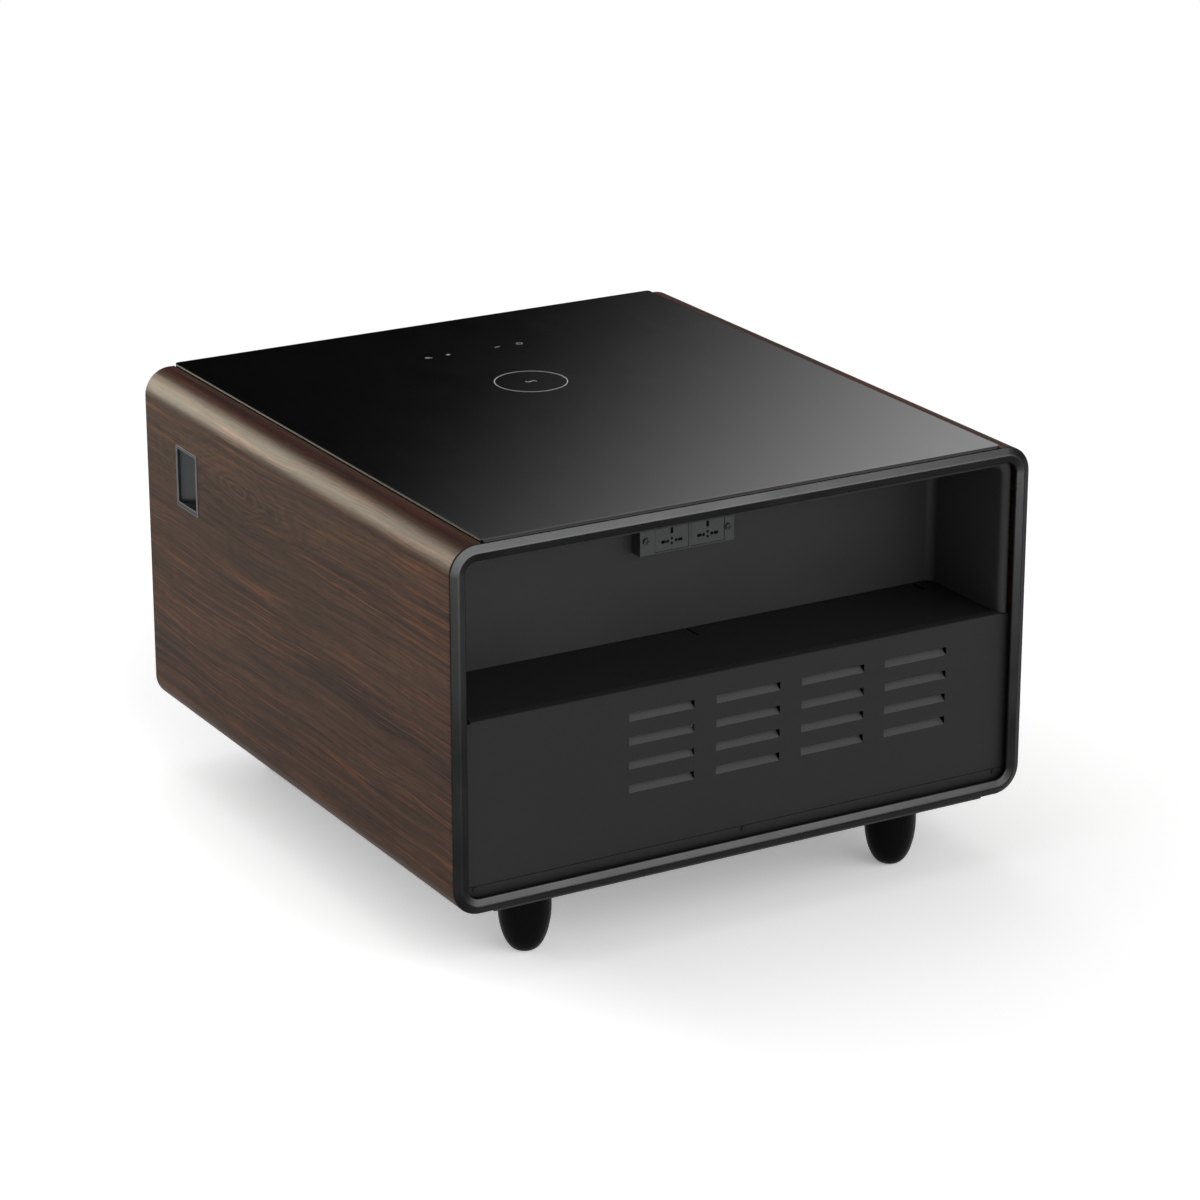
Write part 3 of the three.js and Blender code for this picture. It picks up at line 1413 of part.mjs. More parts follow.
function compressorMotor() {
  const base = compressorShell + seat;
  const top = motorHeight + compressorDome / 2;
  return turned([[0, base], [motorRadius - lap, base], [motorRadius, base + lap],
    [motorRadius, motorHeight], [motorRadius / 2, top], [0, top]], compressorSides);
}

function relayCover() {
  // A terminal cover whose back follows the shell, on the side of the control box.
  const inner = -compressorRadius / 2;
  const outer = -compressorRadius - seat - relayDepth;
  const block = box(outer, inner, -relayWidth / 2, relayWidth / 2, relayLift, relayLift + relayHeight);
  return cut(block, drumZ(compressorRadius + seat, 0, 0,
    -overrun, compressorHeight + overrun, compressorSides));
}

add('compressor_shell', compressor(), gloss(), compressorX, compressorY, compressorBaseZ);
add('compressor_motor', compressorMotor(), copper(), compressorX, compressorY, compressorBaseZ);
add('relay_cover', relayCover(), blackPlastic(), compressorX, compressorY, compressorBaseZ);

// Condenser: flat tubes and folded fins punched out of one block, between two headers

function condenser() {
  const y0 = fanY - condenserLength / 2;
  const y1 = fanY + condenserLength / 2;
  const z0 = condenserBottomZ;
  const z1 = z0 + condenserHeight;
  const front = condenserX - condenserThickness / 2;
  const back = condenserX + condenserThickness / 2;
  const rowPitch = (condenserHeight - condenserTube) / condenserRows;
  const cellLength = condenserLength / (condenserCells + 1);
  const cells = [];
  for (let row = 0; row < condenserRows; row += 1) {
    const low = z0 + condenserTube + row * rowPitch;
    const high = low + rowPitch - condenserTube;
    for (let cell = 0; cell < condenserCells; cell += 1) {
      const start = y0 + cell * cellLength + condenserFin;
      const end = y0 + (cell + 2) * cellLength - condenserFin;
      const middle = (start + end) / 2;
      const points = cell % 2
        ? [[middle, low], [end, high], [start, high]]
        : [[start, low], [end, low], [middle, high]];
      cells.push(alongX(outline(points), front - overrun, back + overrun));
    }
  }
  const header = (y) => drumZ(headerRadius, condenserX, y, z0, z1 + headerRise);
  return joined(cut(box(front, back, y0, y1, z0, z1), ...cells), header(y0), header(y1));
}

// Fan: a frame with its ring, spider, motor and shaft, and a bladed rotor, about a line along X

function fanFrame() {
  const half = fanPlateSide / 2;
  const bore = fanRadius + fanTipGap;
  const plate = box(fanX, fanX + fanPlate, fanY - half, fanY + half, fanZ - half, fanZ + half);
  const armX = fanX - fanRingDepth;
  const ring = drumX(bore + fanRingWall, fanY, fanZ, armX, fanX + fanPlate, turnedSides);
  const hollow = drumX(bore, fanY, fanZ, armX - overrun, fanX + fanPlate + overrun, turnedSides);
  const arm = (wide, high) => box(armX, armX + fanArmThickness,
    fanY - wide, fanY + wide, fanZ - high, fanZ + high);
  const reach = bore + lap;
  const arms = joined(arm(reach, fanArmWidth / 2), arm(fanArmWidth / 2, reach),
    drumX(fanMotorRadius, fanY, fanZ, armX, armX + fanArmThickness, turnedSides));
  const motor = drumX(fanMotorRadius, fanY, fanZ, armX - fanMotorDepth, armX + lap, turnedSides);
  const shaft = drumX(fanShaftRadius, fanY, fanZ, armX, armX + fanArmThickness + fanShaftLength);
  const corner = half - fanArmWidth;
  const holes = [];
  for (const y of [-corner, corner]) {
    for (const z of [-corner, corner]) {
      holes.push(drumX(fanHoleRadius, fanY + y, fanZ + z, fanX - overrun, fanX + fanPlate + overrun));
    }
  }
  return joined(cut(joined(plate, ring), hollow, ...holes), arms, motor, shaft);
}

function fanBlade() {
  // Sections of a thin plate from the hub to the tip; its pitch falls off along the radius.
  const rings = [];
  const stations = 3;
  for (let i = 0; i <= stations; i += 1) {
    const t = i / stations;
    const radius = fanHubRadius - lap + (fanRadius - fanHubRadius + lap) * t;
    const angle = fanRootAngle + (fanTipAngle - fanRootAngle) * t;
    const chord = (fanBladeChord / 2) * (2 / 3 + t / 3);
    const along = [Math.sin(angle) * chord, Math.cos(angle) * chord];
    const across = [Math.cos(angle) * (fanBladeThickness / 2), -Math.sin(angle) * (fanBladeThickness / 2)];
    const corner = (a, b) => [a * along[0] + b * across[0], a * along[1] + b * across[1]];
    const limit = Math.sqrt(Math.max(radius * radius - chord * chord, 0));
    rings.push([corner(-1, -1), corner(1, -1), corner(1, 1), corner(-1, 1)].map(
      ([x, y]) => [x, y, i === stations ? limit : radius]));
  }
  return geometryOf(loft(rings, false));
}

function fanRotor() {
  // The rotor turns about its own X axis, with the hub in the middle of its depth.
  const hub = cut(
    drumX(fanHubRadius, 0, 0, -fanHubDepth / 2, fanHubDepth / 2, turnedSides),
    drumX(fanShaftRadius + seat, 0, 0, -fanHubDepth, fanHubDepth / 2 - lap * 2, smallSides));
  const blade = fanBlade();
  const blades = [];
  for (let i = 0; i < fanBlades; i += 1) {
    blades.push(solid(blade.clone().rotateX((i / fanBlades) * Math.PI * 2)));
  }
  const bore = drumX(fanShaftRadius + seat, 0, 0, -fanHubDepth, fanHubDepth / 2 - lap * 2, smallSides);
  return cut(joined(hub, ...blades), bore);
}

const rotorX = fanX - fanRingDepth + fanArmThickness + lap + fanHubDepth / 2;

add('condenser', condenser(), satinAlloy());
add('fan_frame', fanFrame(), blackPlastic());
add('fan_rotor', fanRotor(), blackPlastic(), rotorX, fanY, fanZ);

// Refrigerant pipes and the filter drier

const stubX = compressorX + compressorRadius + stubLength + seat;
const stubZ = compressorBaseZ + (compressorHeight * compressorSeamShare) / 2;
const headerTopZ = condenserBottomZ + condenserHeight + headerRise;
const pipeTopZ = shelfBottomZ - pipeRadius * 4;

function dischargePipe() {
  // From the rear stub of the compressor, over the fan, down into the near header.
  const y = compressorY - compressorRadius / 3;
  const headerY = fanY - condenserLength / 2;
  const riserX = stubX + pipeBend * 2;
  return pipe([
    [stubX, y, stubZ],
    [stubX + pipeBend, y, stubZ],
    [riserX, y - pipeBend, stubZ + pipeBend * 2],
    [riserX, y - pipeBend * 2, pipeTopZ - pipeBend * 3],
    [riserX + pipeBend * 2, headerY, pipeTopZ],
    [condenserX - pipeBend * 2, headerY, pipeTopZ],
    [condenserX, headerY, pipeTopZ - pipeBend],
    [condenserX, headerY, headerTopZ + seat],
  ], pipeRadius);
}

function suctionPipe() {
  // From the other stub of the compressor up to the rear wall of the cabinet.
  const y = compressorY + compressorRadius / 3;
  const riserX = stubX + pipeBend * 2;
  return pipe([
    [stubX, y, stubZ],
    [stubX + pipeBend, y, stubZ],
    [riserX, y + pipeBend, stubZ + pipeBend * 2],
    [riserX, y + pipeBend * 2, stubZ + suctionRise - pipeBend],
    [riserX, cabinetRearY - pipeBend * 2, stubZ + suctionRise],
    [riserX, cabinetRearY - seat, stubZ + suctionRise],
  ], pipeRadius);
}

function filterDrier() {
  // A copper can with coned ends in the line from the far header down to the cabinet.
  const y = fanY + condenserLength / 2;
  const x = condenserX + drierOffset;
  const half = drierLength / 2;
  const middle = pipeTopZ - pipeBend * 3 - half;
  const exitZ = middle - half - pipeBend * 2;
  const can = moved(turned([[0, -half], [pipeRadius, -half], [drierRadius, -half + drierRadius],
    [drierRadius, half - drierRadius], [pipeRadius, half], [0, half]], smallSides), x, y, middle);
  const line = pipe([
    [condenserX, y, headerTopZ + seat],
    [condenserX, y, headerTopZ + pipeBend],
    [condenserX + pipeBend, y, pipeTopZ],
    [x - pipeBend, y, pipeTopZ],
    [x, y, pipeTopZ - pipeBend],
    [x, y, middle],
    [x, y, exitZ + pipeBend],
    [x, cabinetRearY - pipeBend, exitZ],
    [x, cabinetRearY - seat, exitZ],
  ], pipeRadius);
  return joined(can, line);
}

add('discharge_pipe', dischargePipe(), copper());
add('suction_pipe', suctionPipe(), copper());
add('filter_drier', filterDrier(), copper());

// Control box on the left of the compressor, with its board

function controlBoxShape(grow, z0, z1) {
  return box(-controlBoxLength / 2 - grow, controlBoxLength / 2 + grow,
    -controlBoxWidth / 2 - grow, controlBoxWidth / 2 + grow, z0, z1);
}

function controlBox() {
  // The box stands on the wood's return and, with its foot, on the pan.
  const footX = controlFootX - controlBoxX;
  const foot = box(footX - controlFootWidth / 2, footX + controlFootWidth / 2,
    -controlBoxWidth / 2, controlBoxWidth / 2, -ribHeight, lap);
  return cut(joined(controlBoxShape(0, 0, controlBoxHeight), foot),
    controlBoxShape(-controlBoxWall, controlBoxWall, controlBoxHeight + overrun));
}

function controlLid() {
  return joined(
    controlBoxShape(0, controlBoxHeight + seat, controlBoxHeight + seat + controlBoxWall),
    controlBoxShape(-controlBoxWall - seat, controlBoxHeight - controlBoxWall,
      controlBoxHeight + seat + lap));
}

function controlBoard() {
  const z0 = controlBoxWall + controlBoardLift;
  const top = z0 + controlBoardThickness;
  const plate = controlBoxShape(-controlBoxWall - seat, z0, top);
  const part = (x, y, grow) => box(x, x + controlPartLength * grow, y, y + controlPartWidth,
    z0 + controlBoardThickness / 2, top + controlPartHeight * grow);
  const foot = (x, y) => drumZ(controlBoxWall, x, y, controlBoxWall + seat, z0 + lap / 2);
  const fx = controlBoxLength / 3;
  const fy = controlBoxWidth / 3;
  return joined(plate, part(-controlBoxLength / 3, -controlBoxWidth / 3, 1), part(0, 0, 1 / 2),
    foot(-fx, -fy), foot(fx, -fy), foot(-fx, fy), foot(fx, fy));
}

const controlZ = floorRestZ + seat;
add('control_box', controlBox(), blackPlastic(), controlBoxX, controlBoxY, controlZ);
add('control_lid', controlLid(), blackPlastic(), controlBoxX, controlBoxY, controlZ);
add('control_board', controlBoard(), board(), controlBoxX, controlBoxY, controlZ);

export default table;
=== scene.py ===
"""Refrigerator coffee table: detailed surfaces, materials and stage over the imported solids.

Every length is in metres, in the frame of the solids: +Z up, the service side towards -Y and the
drawer towards +Y, with the origin on the floor under the middle of the table.
"""
import json
import math

import bmesh
import bpy
import numpy as np
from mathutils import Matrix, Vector

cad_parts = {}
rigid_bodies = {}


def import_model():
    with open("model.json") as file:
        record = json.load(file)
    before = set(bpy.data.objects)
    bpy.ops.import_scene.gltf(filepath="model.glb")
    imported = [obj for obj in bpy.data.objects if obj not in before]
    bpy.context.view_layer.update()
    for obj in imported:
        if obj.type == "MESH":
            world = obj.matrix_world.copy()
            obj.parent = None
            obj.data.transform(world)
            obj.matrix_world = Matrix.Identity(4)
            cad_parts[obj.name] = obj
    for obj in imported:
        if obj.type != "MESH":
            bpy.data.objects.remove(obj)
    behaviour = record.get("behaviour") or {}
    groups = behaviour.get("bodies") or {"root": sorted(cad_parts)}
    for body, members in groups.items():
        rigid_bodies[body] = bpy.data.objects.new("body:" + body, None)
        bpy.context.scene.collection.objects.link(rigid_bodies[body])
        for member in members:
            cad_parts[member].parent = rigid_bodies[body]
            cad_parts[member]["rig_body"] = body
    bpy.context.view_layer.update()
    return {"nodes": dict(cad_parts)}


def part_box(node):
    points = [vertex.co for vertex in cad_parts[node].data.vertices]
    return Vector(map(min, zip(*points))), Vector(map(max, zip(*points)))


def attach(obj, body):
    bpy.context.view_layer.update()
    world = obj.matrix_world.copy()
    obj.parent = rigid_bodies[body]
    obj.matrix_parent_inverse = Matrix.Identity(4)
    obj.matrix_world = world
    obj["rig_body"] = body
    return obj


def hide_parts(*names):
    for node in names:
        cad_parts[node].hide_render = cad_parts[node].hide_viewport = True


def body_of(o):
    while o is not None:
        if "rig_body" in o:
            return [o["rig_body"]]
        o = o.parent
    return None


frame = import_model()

bl_info = {
    "name": "Refrigerator coffee table",
    "version": (1, 0, 0),
    "blender": (4, 5, 0),
    "location": "3D View > Sidebar > Fridge table",
    "description": "Builds the visible surfaces, finishes and stage of a refrigerator coffee table",
    "category": "Add Mesh",
}

MM = 0.001
QUARTER = math.pi / 2
# Round corners of the body: outer radius, and the radius of the inner face of the wood
BODY_CORNER, WOOD_CORNER = 28 * MM, 18 * MM
# Points of a mesh that lie nearer than this are one point
DOUBLE = 2e-6
# Grains a metre in sprayed paint, and the shares of the axes where brushed lines run along X
PEEL, ALONG_X = 1500, (0.02, 1, 1)

# Shapes: each is worked out as whole arrays


def rounded_loops(x0, x1, z0, z1, radius, steps, spots_x=(), spots_z=()):
    """Closed outlines with round corners, one row each, anticlockwise seen from -Y.

    A corner point is the corner's centre plus the radius times the cosine and sine of an angle
    that runs through a quarter turn. Every argument may hold one value a row. Spots are places
    on the straight sides that get a point of their own. The radius may be four values:
    upper right, upper left, lower left, lower right.
    """
    radii = radius if isinstance(radius, tuple) else (radius,) * 4
    rows = [np.atleast_1d(np.asarray(v, float)) for v in (x0, x1, z0, z1, *radii)]
    x0, x1, z0, z1, *radii = [v[:, None] for v in np.broadcast_arrays(*rows)]
    spots_x, spots_z = (np.sort(np.asarray(v, float)) for v in (spots_x, spots_z))
    corners = ((x1, z1, -1, -1), (x0, z1, 1, -1), (x0, z0, 1, 1), (x1, z0, -1, 1))
    sides = ((spots_x[::-1], z1), (x0, spots_z[::-1]), (spots_x, z0), (x1, spots_z))
    runs = []
    for i, ((x, z, right, up), r, side) in enumerate(zip(corners, radii, sides)):
        angle = np.linspace(0, QUARTER, steps + 1) + i * QUARTER
        runs += [(x + right * r + r * np.cos(angle), z + up * r + r * np.sin(angle)),
                 np.broadcast_arrays(*side)]
    return np.stack([np.concatenate(run, 1) for run in zip(*runs)], axis=-1)


def filleted(corners, cut, steps=4, closed=True):
    """A line through corners with each corner rounded.

    Corner P with neighbours A and B, at "cut" along each side, becomes the quadratic curve
    (1-t)^2 A + 2t(1-t) P + t^2 B for t from 0 to 1.
    """
    p, cut = np.asarray(corners, float), np.array(cut, float)
    before, after = np.roll(p, 1, axis=0), np.roll(p, -1, axis=0)
    if not closed:
        cut[[0, -1]] = 0
        before[0], after[-1] = p[0] * 2 - p[1], p[-1] * 2 - p[-2]

    def towards(q):
        way = q - p
        return (p + way / np.linalg.norm(way, axis=1, keepdims=True) * cut[:, None])[:, None]

    t = np.linspace(0, 1, steps + 1)[None, :, None]
    curve = (1 - t) ** 2 * towards(before) + 2 * t * (1 - t) * p[:, None] + t ** 2 * towards(after)
    return curve.reshape(-1, 2)


def ring(loop, axis, place):
    """Outline points, one row each, as points in space: the row's place comes in at the axis."""
    place = np.broadcast_to(np.asarray(place, float).reshape(-1, 1), loop.shape[:2])
    known = [loop[..., 0], loop[..., 1]]
    return np.stack([*known[:axis], place, *known[axis:]], axis=-1)


def sheet(grid, wrap_rows=False, wrap_columns=False, keep=None, uv=None):
    """Quads over a grid of points: cell (i, j) joins rows i, i+1 and columns j, j+1."""
    rows, columns = grid.shape[:2]
    i, j = np.meshgrid(np.arange(rows if wrap_rows else rows - 1),
                       np.arange(columns if wrap_columns else columns - 1), indexing="ij")
    keep = np.ones(i.shape, bool) if keep is None else keep
    i, j = i[keep], j[keep]
    i1, j1 = (i + 1) % rows, (j + 1) % columns
    quads = np.stack([i * columns + j, i * columns + j1, i1 * columns + j1, i1 * columns + j], 1)
    return grid.reshape(-1, 3), quads.tolist(), None if uv is None else uv.reshape(-1, 2)


def cap(points):
    """One face over a closed row of points."""
    return points, [list(range(len(points)))], None


def tube(grid):
    """A sheet whose rows are closed outlines, with a face over the first and the last."""
    return [sheet(grid, wrap_columns=True), cap(grid[0]), cap(grid[-1])]


def hoop(grid, uv=None):
    """A sheet that closes on itself along its rows and across them."""
    return [sheet(grid, wrap_rows=True, wrap_columns=True, uv=uv)]


def bar(section, x0, x1):
    """A closed section in (y, z) carried from x0 to x1."""
    return tube(ring(np.stack([section, section]), 0, (x0, x1)))


# Pieces: a mesh with its material, its body and the solids that it stands for


def merged(mesh):
    """A mesh opened for editing, with its doubles merged."""
    shape = bmesh.new()
    shape.from_mesh(mesh)
    bmesh.ops.remove_doubles(shape, verts=shape.verts, dist=DOUBLE)
    return shape


def new_piece(name, parts, material, slot, body, replaces=(), sharp=30, facing=None):
    """Joins the parts into one mesh, merges their doubles and shades it smooth up to an angle.

    An open sheet names the way that most of its area faces.
    """
    counts = np.cumsum([0] + [len(p[0]) for p in parts])
    points = np.concatenate([p[0] for p in parts])
    faces = [[v + int(start) for v in face] for p, start in zip(parts, counts) for face in p[1]]
    mesh = bpy.data.meshes.new(name)
    mesh.from_pydata(points.tolist(), [], faces)
    if parts[0][2] is not None:
        uv = np.concatenate([p[2] for p in parts])
        loops = np.empty(len(mesh.loops), np.int32)
        mesh.loops.foreach_get("vertex_index", loops)
        mesh.uv_layers.new(name="Grain").data.foreach_set("uv", uv[loops].ravel())
    shape = merged(mesh)
    bmesh.ops.dissolve_degenerate(shape, edges=shape.edges, dist=DOUBLE / 2)
    bmesh.ops.recalc_face_normals(shape, faces=shape.faces)
    if facing is not None:
        areas = sum((face.normal * face.calc_area() for face in shape.faces), Vector())
        if areas.dot(Vector(facing)) < 0:
            bmesh.ops.reverse_faces(shape, faces=shape.faces)
    shape.to_mesh(mesh)
    shape.free()
    piece = dressed(name, mesh, material, body, replaces, sharp)
    even = piece.modifiers.new("Even shading", "WEIGHTED_NORMAL")
    even.keep_sharp = True
    even.weight = 80
    return piece


def dressed(name, mesh, material, body, replaces, sharp):
    """Puts a mesh in the scene, shades it, ties it to its body and hides the solids that it stands
    for.
    """
    piece = bpy.data.objects.new(name, mesh)
    bpy.context.scene.collection.objects.link(piece)
    mesh.materials.clear()
    mesh.materials.append(material)
    mesh.shade_smooth()
    mesh.set_sharp_from_angle(angle=math.radians(sharp))
    if replaces:
        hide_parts(*replaces)
    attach(piece, body)
    return piece


def walled(piece, depth, even=False):
    """Gives a sheet its wall, on the side away from the one that it faces, before the shading."""
    wall = piece.modifiers.new("Sheet", "SOLIDIFY")
    wall.thickness, wall.offset, wall.use_even_offset = depth, -1, even
    piece.modifiers.move(piece.modifiers.find("Sheet"), 0)


def softened(node, width, material, slot, segments=2, angle=32):
    """A copy of a solid with its edges rounded by a bevel of the given width in millimetres."""
    solid = frame["nodes"][node]
    mesh = solid.data.copy()
    mesh.name = node + "_soft"
    shape = merged(mesh)
    flat = math.radians(0.6)
    bmesh.ops.dissolve_limit(shape, angle_limit=flat, verts=shape.verts, edges=shape.edges)
    shape.to_mesh(mesh)
    shape.free()
    piece = dressed(node + "_soft", mesh, material, body_of(solid)[0], (node,), angle)
    bevel = piece.modifiers.new("Soft edges", "BEVEL")
    bevel.width, bevel.segments = width * MM, segments
    bevel.limit_method, bevel.angle_limit = "ANGLE", math.radians(angle)
    bevel.use_clamp_overlap = bevel.harden_normals = True


def centre_of(node):
    """The middle of a solid's box."""
    lo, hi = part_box(node)
    return (lo + hi) / 2


def finish_solid(node, material):
    """Gives a solid that keeps its own shape a finish in every slot."""
    solid = frame["nodes"][node]
    if not solid.material_slots:
        raise RuntimeError(f"{node} has no material slot")
    for place in solid.material_slots:
        place.material = material


# Materials


def linear(colour):
    """A colour as people name it, three values from 0 to 255, as the shader's linear values."""
    c = np.asarray(colour, float) / 255
    c = np.where(c <= 0.04045, c / 12.92, ((c + 0.055) / 1.055) ** 2.4)
    return (*c.tolist(), 1.0)


class Flow:
    """What flows out of a node. Arithmetic on it adds the nodes that work it out."""

    def __init__(self, nodes, node, key=0):
        self.nodes, self.node, self.key = nodes, node, key

    def out(self, key):
        """Another output of the same node."""
        return Flow(self.nodes, self.node, key)

    def __add__(self, other):
        return self.nodes.sum("ADD", self, other)

    def __sub__(self, other):
        return self.nodes.sum("SUBTRACT", self, other)

    def __mul__(self, other):
        return self.nodes.sum("MULTIPLY", self, other)


def tint(colour):
    """A colour for a socket: three values are made linear, anything else stays."""
    return colour if isinstance(colour, Flow) or len(colour) == 4 else linear(colour)


class Nodes:
    """A shader tree while it is being put together."""

    def __init__(self, tree):
        self.tree = tree

    def feed(self, socket, value):
        """Links a flow to the socket, or sets the socket to a value."""
        if isinstance(value, Flow):
            self.tree.links.new(value.node.outputs[value.key], socket)
        else:
            socket.default_value = value

    def add(self, kind, feeds=None, **settings):
        """A new node with its settings, and its inputs fed by their name or number."""
        node = self.tree.nodes.new("ShaderNode" + kind)
        for key, value in settings.items():
            setattr(node, key, value)
        for key, value in (feeds or {}).items():
            self.feed(node.inputs[key], value)
        return Flow(self, node)

    def sum(self, kind, *values):
        """One step of arithmetic on the values."""
        return self.add("Math", dict(enumerate(values)), operation=kind)

    def most(self, *values):
        """The largest of the values."""
        first, *rest = values
        for value in rest:
            first = self.sum("MAXIMUM", first, value)
        return first

    def curve(self, value, low, high, to_low=0.0, to_high=1.0, kind="LINEAR"):
        """The value's way from low to high as a way from to_low to to_high."""
        return self.add("MapRange", dict(enumerate((value, low, high, to_low, to_high))),
                        interpolation_type=kind)

    def axes(self, vector):
        """The vector's X, Y and Z."""
        split = self.add("SeparateXYZ", {0: vector})
        return split, split.out(1), split.out(2)


class Finish(Nodes):
    """One node material while it is being put together."""

    def __init__(self, name, roughness=0.5, metallic=0.0, **constants):
        self.material = bpy.data.materials.new(name)
        self.material.use_nodes = True
        super().__init__(self.material.node_tree)
        self.shader = self.tree.nodes["Principled BSDF"]
        for key, value in dict(constants, Roughness=roughness, Metallic=metallic).items():
            self.shader.inputs[key.replace("_", " ")].default_value = value
        self.coordinates = self.add("TexCoord")

    def place(self, scale=(1, 1, 1), turn=(0, 0, 0), source="Object"):
        """The piece's own coordinates, scaled and turned."""
        return self.add("Mapping", {"Vector": self.coordinates.out(source), "Scale": scale,
                                    "Rotation": turn})

    def noise(self, where, scale, detail=3.0, roughness=0.5, distortion=0.0):
        return self.add("TexNoise", {"Vector": where, "Scale": scale, "Detail": detail,
                                     "Roughness": roughness, "Distortion": distortion})

    def cells(self, where, scale):
        """Cells whose first output is the distance from their middle."""
        return self.add("TexVoronoi", {"Vector": where, "Scale": scale})

    def ramp(self, value, *stops):
        """The colour at the value, between stops of (place, colour)."""
        ramp = self.add("ValToRGB", {"Fac": value})
        bar = ramp.node.color_ramp
        while len(bar.elements) < len(stops):
            bar.elements.new(0.5)
        for element, (place, colour) in zip(bar.elements, stops):
            element.position, element.color = place, tint(colour)
        return ramp

    def shades(self, value, colour, *stops):
        """The colour times the share at the value, between stops of (place, share)."""
        return self.ramp(value, *((place, np.minimum(np.asarray(colour, float) * share, 255))
                                  for place, share in stops))

    def mix(self, share, a, b):
        """Colour a turning to colour b with the share."""
        return self.add("Mix", {0: share, 6: tint(a), 7: tint(b)}, data_type="RGBA").out(2)

    def bump(self, height, distance, strength=0.5):
        bump = self.add("Bump", {"Height": height, "Distance": distance, "Strength": strength})
        self.feed(self.shader.inputs["Normal"], bump)

    def colour(self, value):
        self.feed(self.shader.inputs["Base Color"], value)

    def rough(self, value):
        self.feed(self.shader.inputs["Roughness"], value)

    def gloss(self, value, rough_low, rough_high, low=0.3, high=0.7):
        """Roughness from rough_low to rough_high while the value goes from low to high."""
        self.rough(self.curve(value, low, high, rough_low, rough_high))


def walnut(name):
    """Dark walnut foil from its own map: u runs across the grain and v along it, in metres."""
    f = Finish(name, roughness=0.36, Specular_IOR_Level=0.03)
    tones = bpy.context.scene.fridge_table_finishes
    sway = f.noise(f.place((3.2, 1.6, 1), source="UV"), 1.0)
    ripple = f.noise(f.place((24, 7, 1), source="UV"), 1.0, 2)
    edge_way, v, _ = f.axes(f.coordinates.out("UV"))
    u = edge_way + (sway - 0.5) * 0.04 + (ripple - 0.5) * 0.006

    def grain(across, along, detail=3, roughness=0.6, shift=0.0):
        """Noise with so many grains a metre across the board and along it."""
        where = f.add("CombineXYZ", {0: u * across, 1: v * along, 2: shift})
        return f.noise(where, 1.0, detail, roughness)

    broad = grain(20, 1.2, roughness=0.55)
    streak = grain(130, 3.4, 5, 0.68, 3.0)
    line = grain(330, 5.0, shift=23.0)
    fibre = grain(900, 14, shift=7.0)
    pore = grain(1300, 40, 1, 0.4, 11.0)

    # The arched figure: an ellipse about one place on the board, cut into rings by a sine
    half_width, half_length, rings_each = 0.022, 0.11, 24.0
    du = (u - tones.figure_across) * (1 / half_width)
    dv = (v - tones.figure_along) * (1 / half_length)
    reach = f.sum("SQRT", du * du + dv * dv)
    wobble = grain(30, 11, roughness=0.5, shift=5.0) * 1.6
    rings = f.curve(f.sum("SINE", (reach + wobble) * rings_each), -1, 1)
    body = broad * 0.36 + streak * 0.64
    near = f.curve(reach, 0.5, 2.6, 0.75, 0.0)
    figure = f.add("Mix", {0: near, 2: body, 3: rings * 0.2 + body * 0.8}, data_type="FLOAT")
    dark, middle, light, rusty = ((*tone, 1.0) for tone in (
        tones.wood_dark, tones.wood_middle, tones.wood_light, tones.wood_rust))
    tone = f.ramp(figure, (0.36, dark), (0.5, middle), (0.66, light))
    # Rust-coloured hairs gather in drifts; dark hairs, fibres and pores run everywhere
    drift = f.curve(grain(16, 2.2, roughness=0.55, shift=17.0), 0.42, 0.6, 0.12, 1.0)
    tone = f.mix(f.curve(line, 0.52, 0.64) * drift, tone, rusty)
    hair = grain(260, 4.0, 4, 0.65, 31.0)
    tone = f.mix(f.curve(hair, 0.52, 0.66, 0.0, 0.7), tone, (33, 21, 17))
    tone = f.mix(f.curve(fibre, 0.42, 0.7, 0.0, 0.5), tone, (33, 22, 17))
    dark_pore = f.curve(pore, 0.58, 0.70, 0.0, 0.65)
    tone = f.mix(dark_pore, tone, (22, 15, 13))
    # Painted shade: the foil darkens to red-brown near the top edge, where the wood faces up and is
    # lit less, with black lines in it
    edge = f.sum("ABSOLUTE", edge_way)
    top_shade_share = f.sum("MINIMUM", f.curve(edge, 2 * MM, 8 * MM, 0.3, 0.86),
                   f.curve(edge, 13 * MM, 34 * MM, 0.86, 0.0))
    shaded_top_tone = f.mix(f.curve(streak, 0.42, 0.58), (58, 22, 16), (20, 9, 8))
    f.colour(f.mix(top_shade_share, tone, shaded_top_tone))
    f.gloss(fibre, 0.38, 0.47, 0.3, 0.8)
    f.bump(fibre * 0.5 - dark_pore * 0.8, 0.1 * MM)
    return f.material


def powder_coat(name, colour, roughness=0.5, grain=0.00003, **constants):
    """Fine sprayed paint: an orange peel of small cells with a slight change of shade."""
    f = Finish(name, roughness, **constants)
    fine, broad = f.noise(f.place(), PEEL, 2), f.noise(f.place(), 9, 3, 0.55)
    shade = f.shades(broad, colour, (0.3, 0.95), (0.7, 1.05))
    f.colour(f.mix(f.curve(fine, 0.3, 0.7, 0, 0.25), shade, [c * 1.18 for c in colour]))
    f.gloss(broad, roughness - 0.04, roughness + 0.05)
    f.bump(fine, grain)
    return f.material


def blade_paint(name, face):
    """Sprayed paint on the louvre blades, paler towards the back from the depth of the face on:
    painted light against the shade of the slot.
    """
    f = Finish(name, Specular_IOR_Level=0.15)
    # Painted light: the blade's colour pales towards its back edge, which the slot shades
    painted_light_depth = f.curve(f.axes(f.coordinates.out("Object"))[1], face, face + 9 * MM)
    fine = f.noise(f.place(), PEEL, 2)
    tone = f.ramp(painted_light_depth, (0.0, (68, 68, 68)), (0.8, (92, 92, 92)))
    f.colour(f.mix(f.curve(fine, 0.3, 0.7, 0, 0.25), tone, (90, 90, 90)))
    f.gloss(fine, 0.46, 0.54)
    f.bump(fine, 0.03 * MM)
    return f.material


